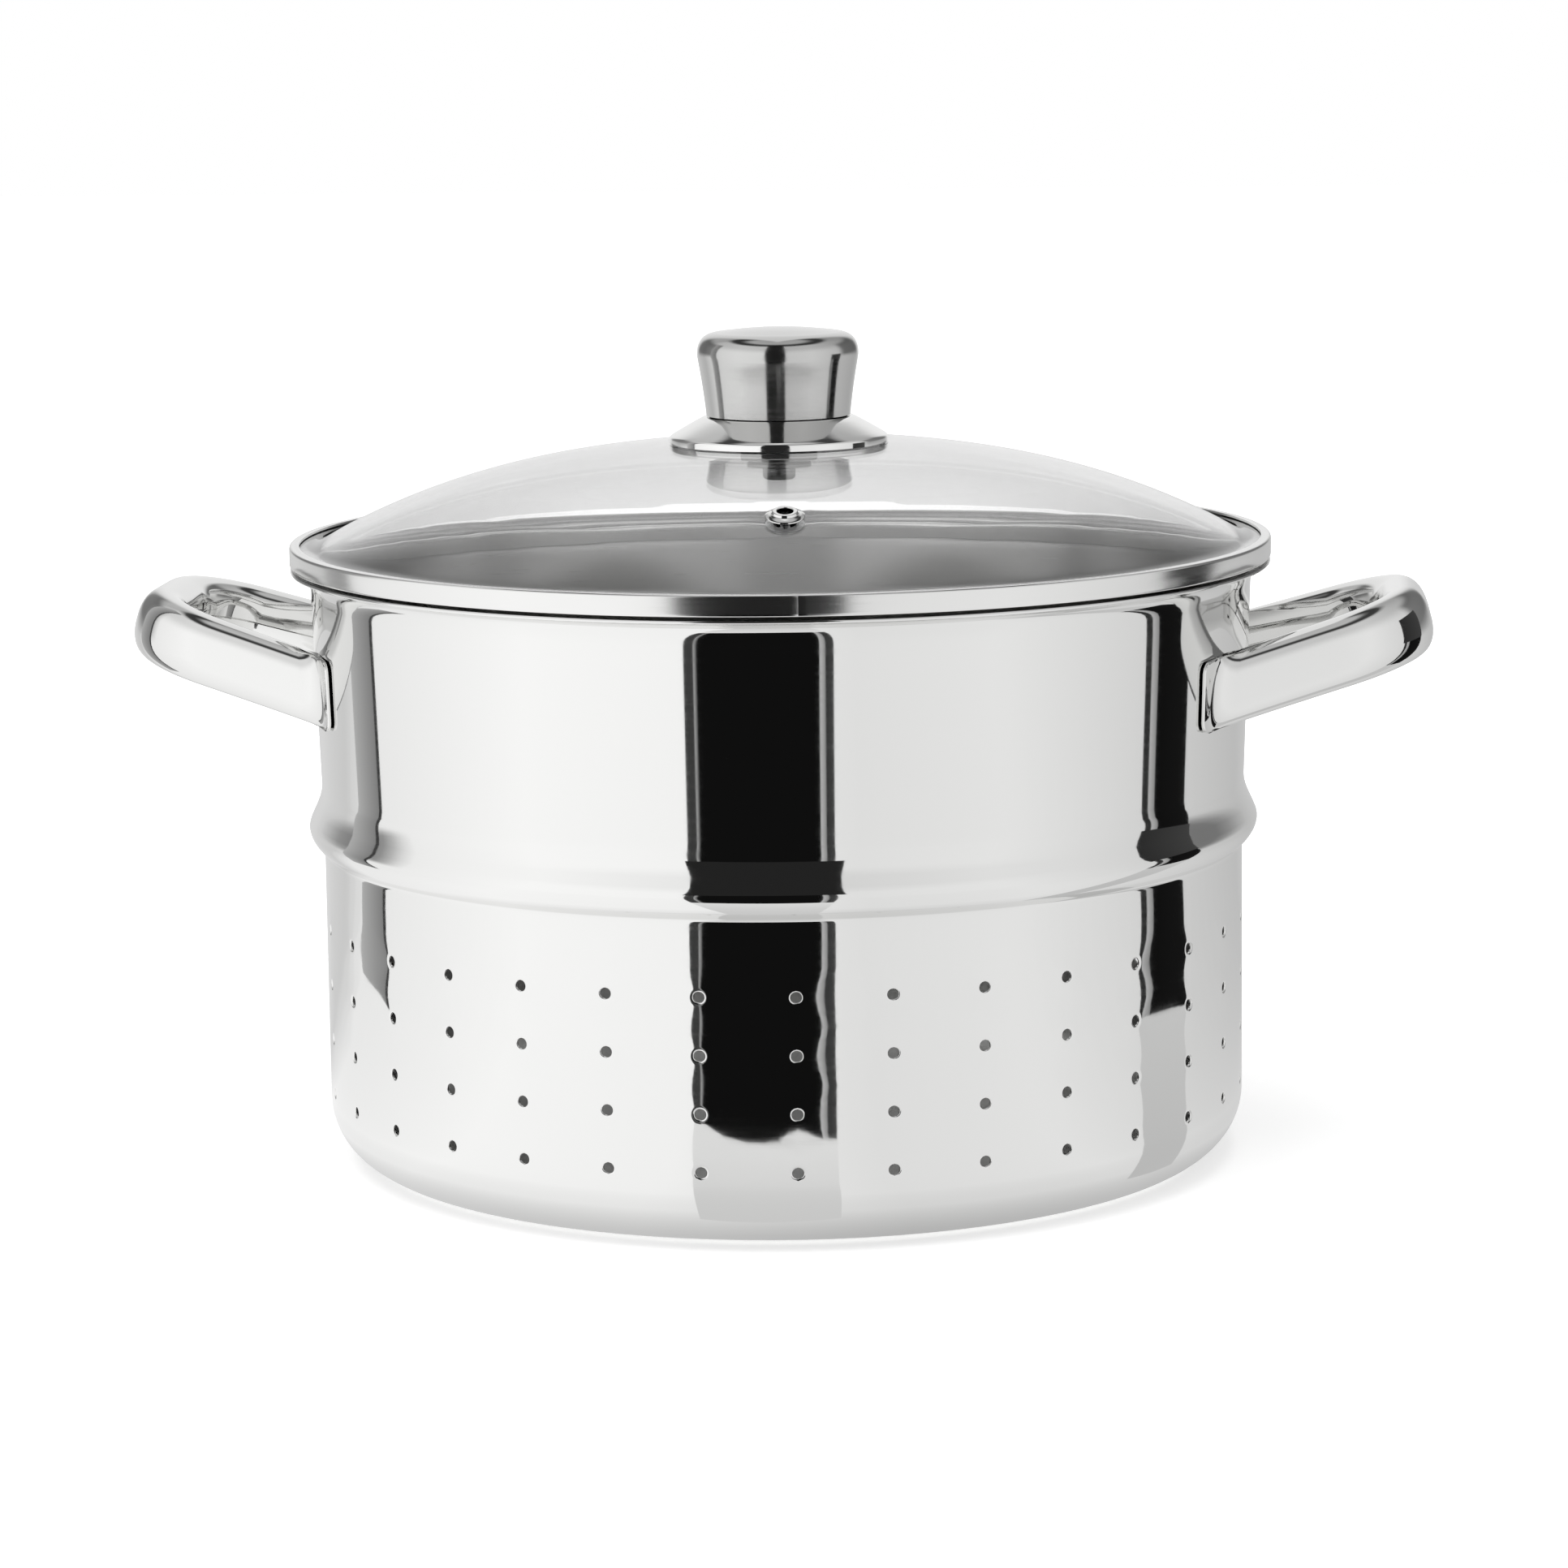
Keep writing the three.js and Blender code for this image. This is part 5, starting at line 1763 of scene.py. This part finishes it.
    def floor(self) -> None:
        """Adds the pale floor: white to the eye and to mirrors, and clear from below.

        Near the object its own glow is weaker, so that the object's shadow shows.
        """
        material, tree = new_material("paper_sweep_white")
        place = add_node(tree, "TexCoord")
        away = add_node(tree, "VectorMath", {"operation": "LENGTH"}, {0: place.outputs["Object"]})
        far = add_node(tree, "MapRange",
                       {"interpolation_type": "SMOOTHSTEP", "From Min": self.floor_near,
                        "From Max": self.floor_far, "To Min": self.floor_glow},
                       {"Value": away.outputs["Value"]})
        lift = add_node(tree, "Math", {"operation": "MULTIPLY"},
                        {0: self.seen(tree), 1: far})
        glow = add_node(tree, "Emission", {"Color": WHITE}, {"Strength": lift})
        paper = add_node(tree, "BsdfDiffuse", {"Color": linear(self.floor_colour)})
        both = add_node(tree, "AddShader", None,
                        {0: glow, 1: paper})
        side = add_node(tree, "NewGeometry")
        clear = add_node(tree, "BsdfTransparent")
        sheet = add_node(tree, "MixShader", None,
                         {0: side.outputs["Backfacing"], 1: both, 2: clear})
        add_node(tree, "OutputMaterial", None, {"Surface": sheet})
        surface = Surface()
        half = self.floor_half
        surface.add(np.array([[(-half, y, 0), (half, y, 0)] for y in (-half, half)]))
        mesh = surface.mesh("floor")
        if mesh.polygons[0].normal.z < 0:
            mesh.flip_normals()
        mesh.materials.append(material)
        new_object("floor", mesh)

    def light(self) -> None:
        """Adds the world's even light, white to the eye, and one large soft lamp above the front."""
        world = bpy.data.worlds.new("studio_white")
        world.use_nodes = True
        tree = world.node_tree
        tree.nodes.clear()
        level = add_node(tree, "MapRange", {"To Min": self.sky_level, "To Max": 1.0},
                         {"Value": self.seen(tree)})
        sky = add_node(tree, "Background", {"Color": WHITE}, {"Strength": level})
        add_node(tree, "OutputWorld", None, {"Surface": sky})
        bpy.context.scene.world = world
        lamp = bpy.data.lights.new("overhead_softbox", "AREA")
        lamp.shape = "RECTANGLE"
        lamp.size, lamp.size_y = self.lamp_size
        lamp.energy = self.lamp_watts
        light = new_object("overhead_softbox", lamp)
        light.location = self.lamp_place
        light.visible_glossy = False

    def camera(self) -> None:
        """Adds the camera that was fitted to the photograph's round edges."""
        cy, sy = np.cos(self.yaw), np.sin(self.yaw)
        cp, sp = np.cos(self.pitch), np.sin(self.pitch)
        cr, sr = np.cos(self.roll), np.sin(self.roll)
        forward = np.array([sy * cp, cy * cp, -sp])
        level = np.array([cy, -sy, 0.0])
        right = cr * level - sr * np.cross(forward, level)
        axes = np.stack([right, -np.cross(forward, right), -forward])
        matrix = np.eye(4)
        matrix[:3, :3] = self.to_object(axes).T
        matrix[:3, 3] = self.to_object(np.array([0.0, -self.distance, self.height])) * MM
        lens = bpy.data.cameras.new("studio_camera")
        lens.lens = self.lens
        lens.sensor_width = self.sensor
        lens.sensor_fit = "HORIZONTAL"
        lens.clip_end = self.view_end
        camera = new_object("studio_camera", lens)
        camera.matrix_world = Matrix(matrix.tolist())
        bpy.context.scene.camera = camera

    def dress(self) -> None:
        """Sets up the whole studio."""
        self.floor()
        self.tent()
        self.light()
        self.camera()
        bpy.context.scene.view_settings.view_transform = "Standard"


def main() -> None:
    """Builds the sub-assemblies in order, then the studio."""
    logging.basicConfig(level=logging.INFO, format="%(message)s")
    palette = Palette()
    basket = Basket()
    basket.dress(palette)
    for side in Side:
        Handle(basket, side).dress(palette)
    lid = Lid(basket)
    lid.dress(palette)
    Knob(lid).dress(palette)
    Studio().dress()


if __name__ == "__main__":
    main()
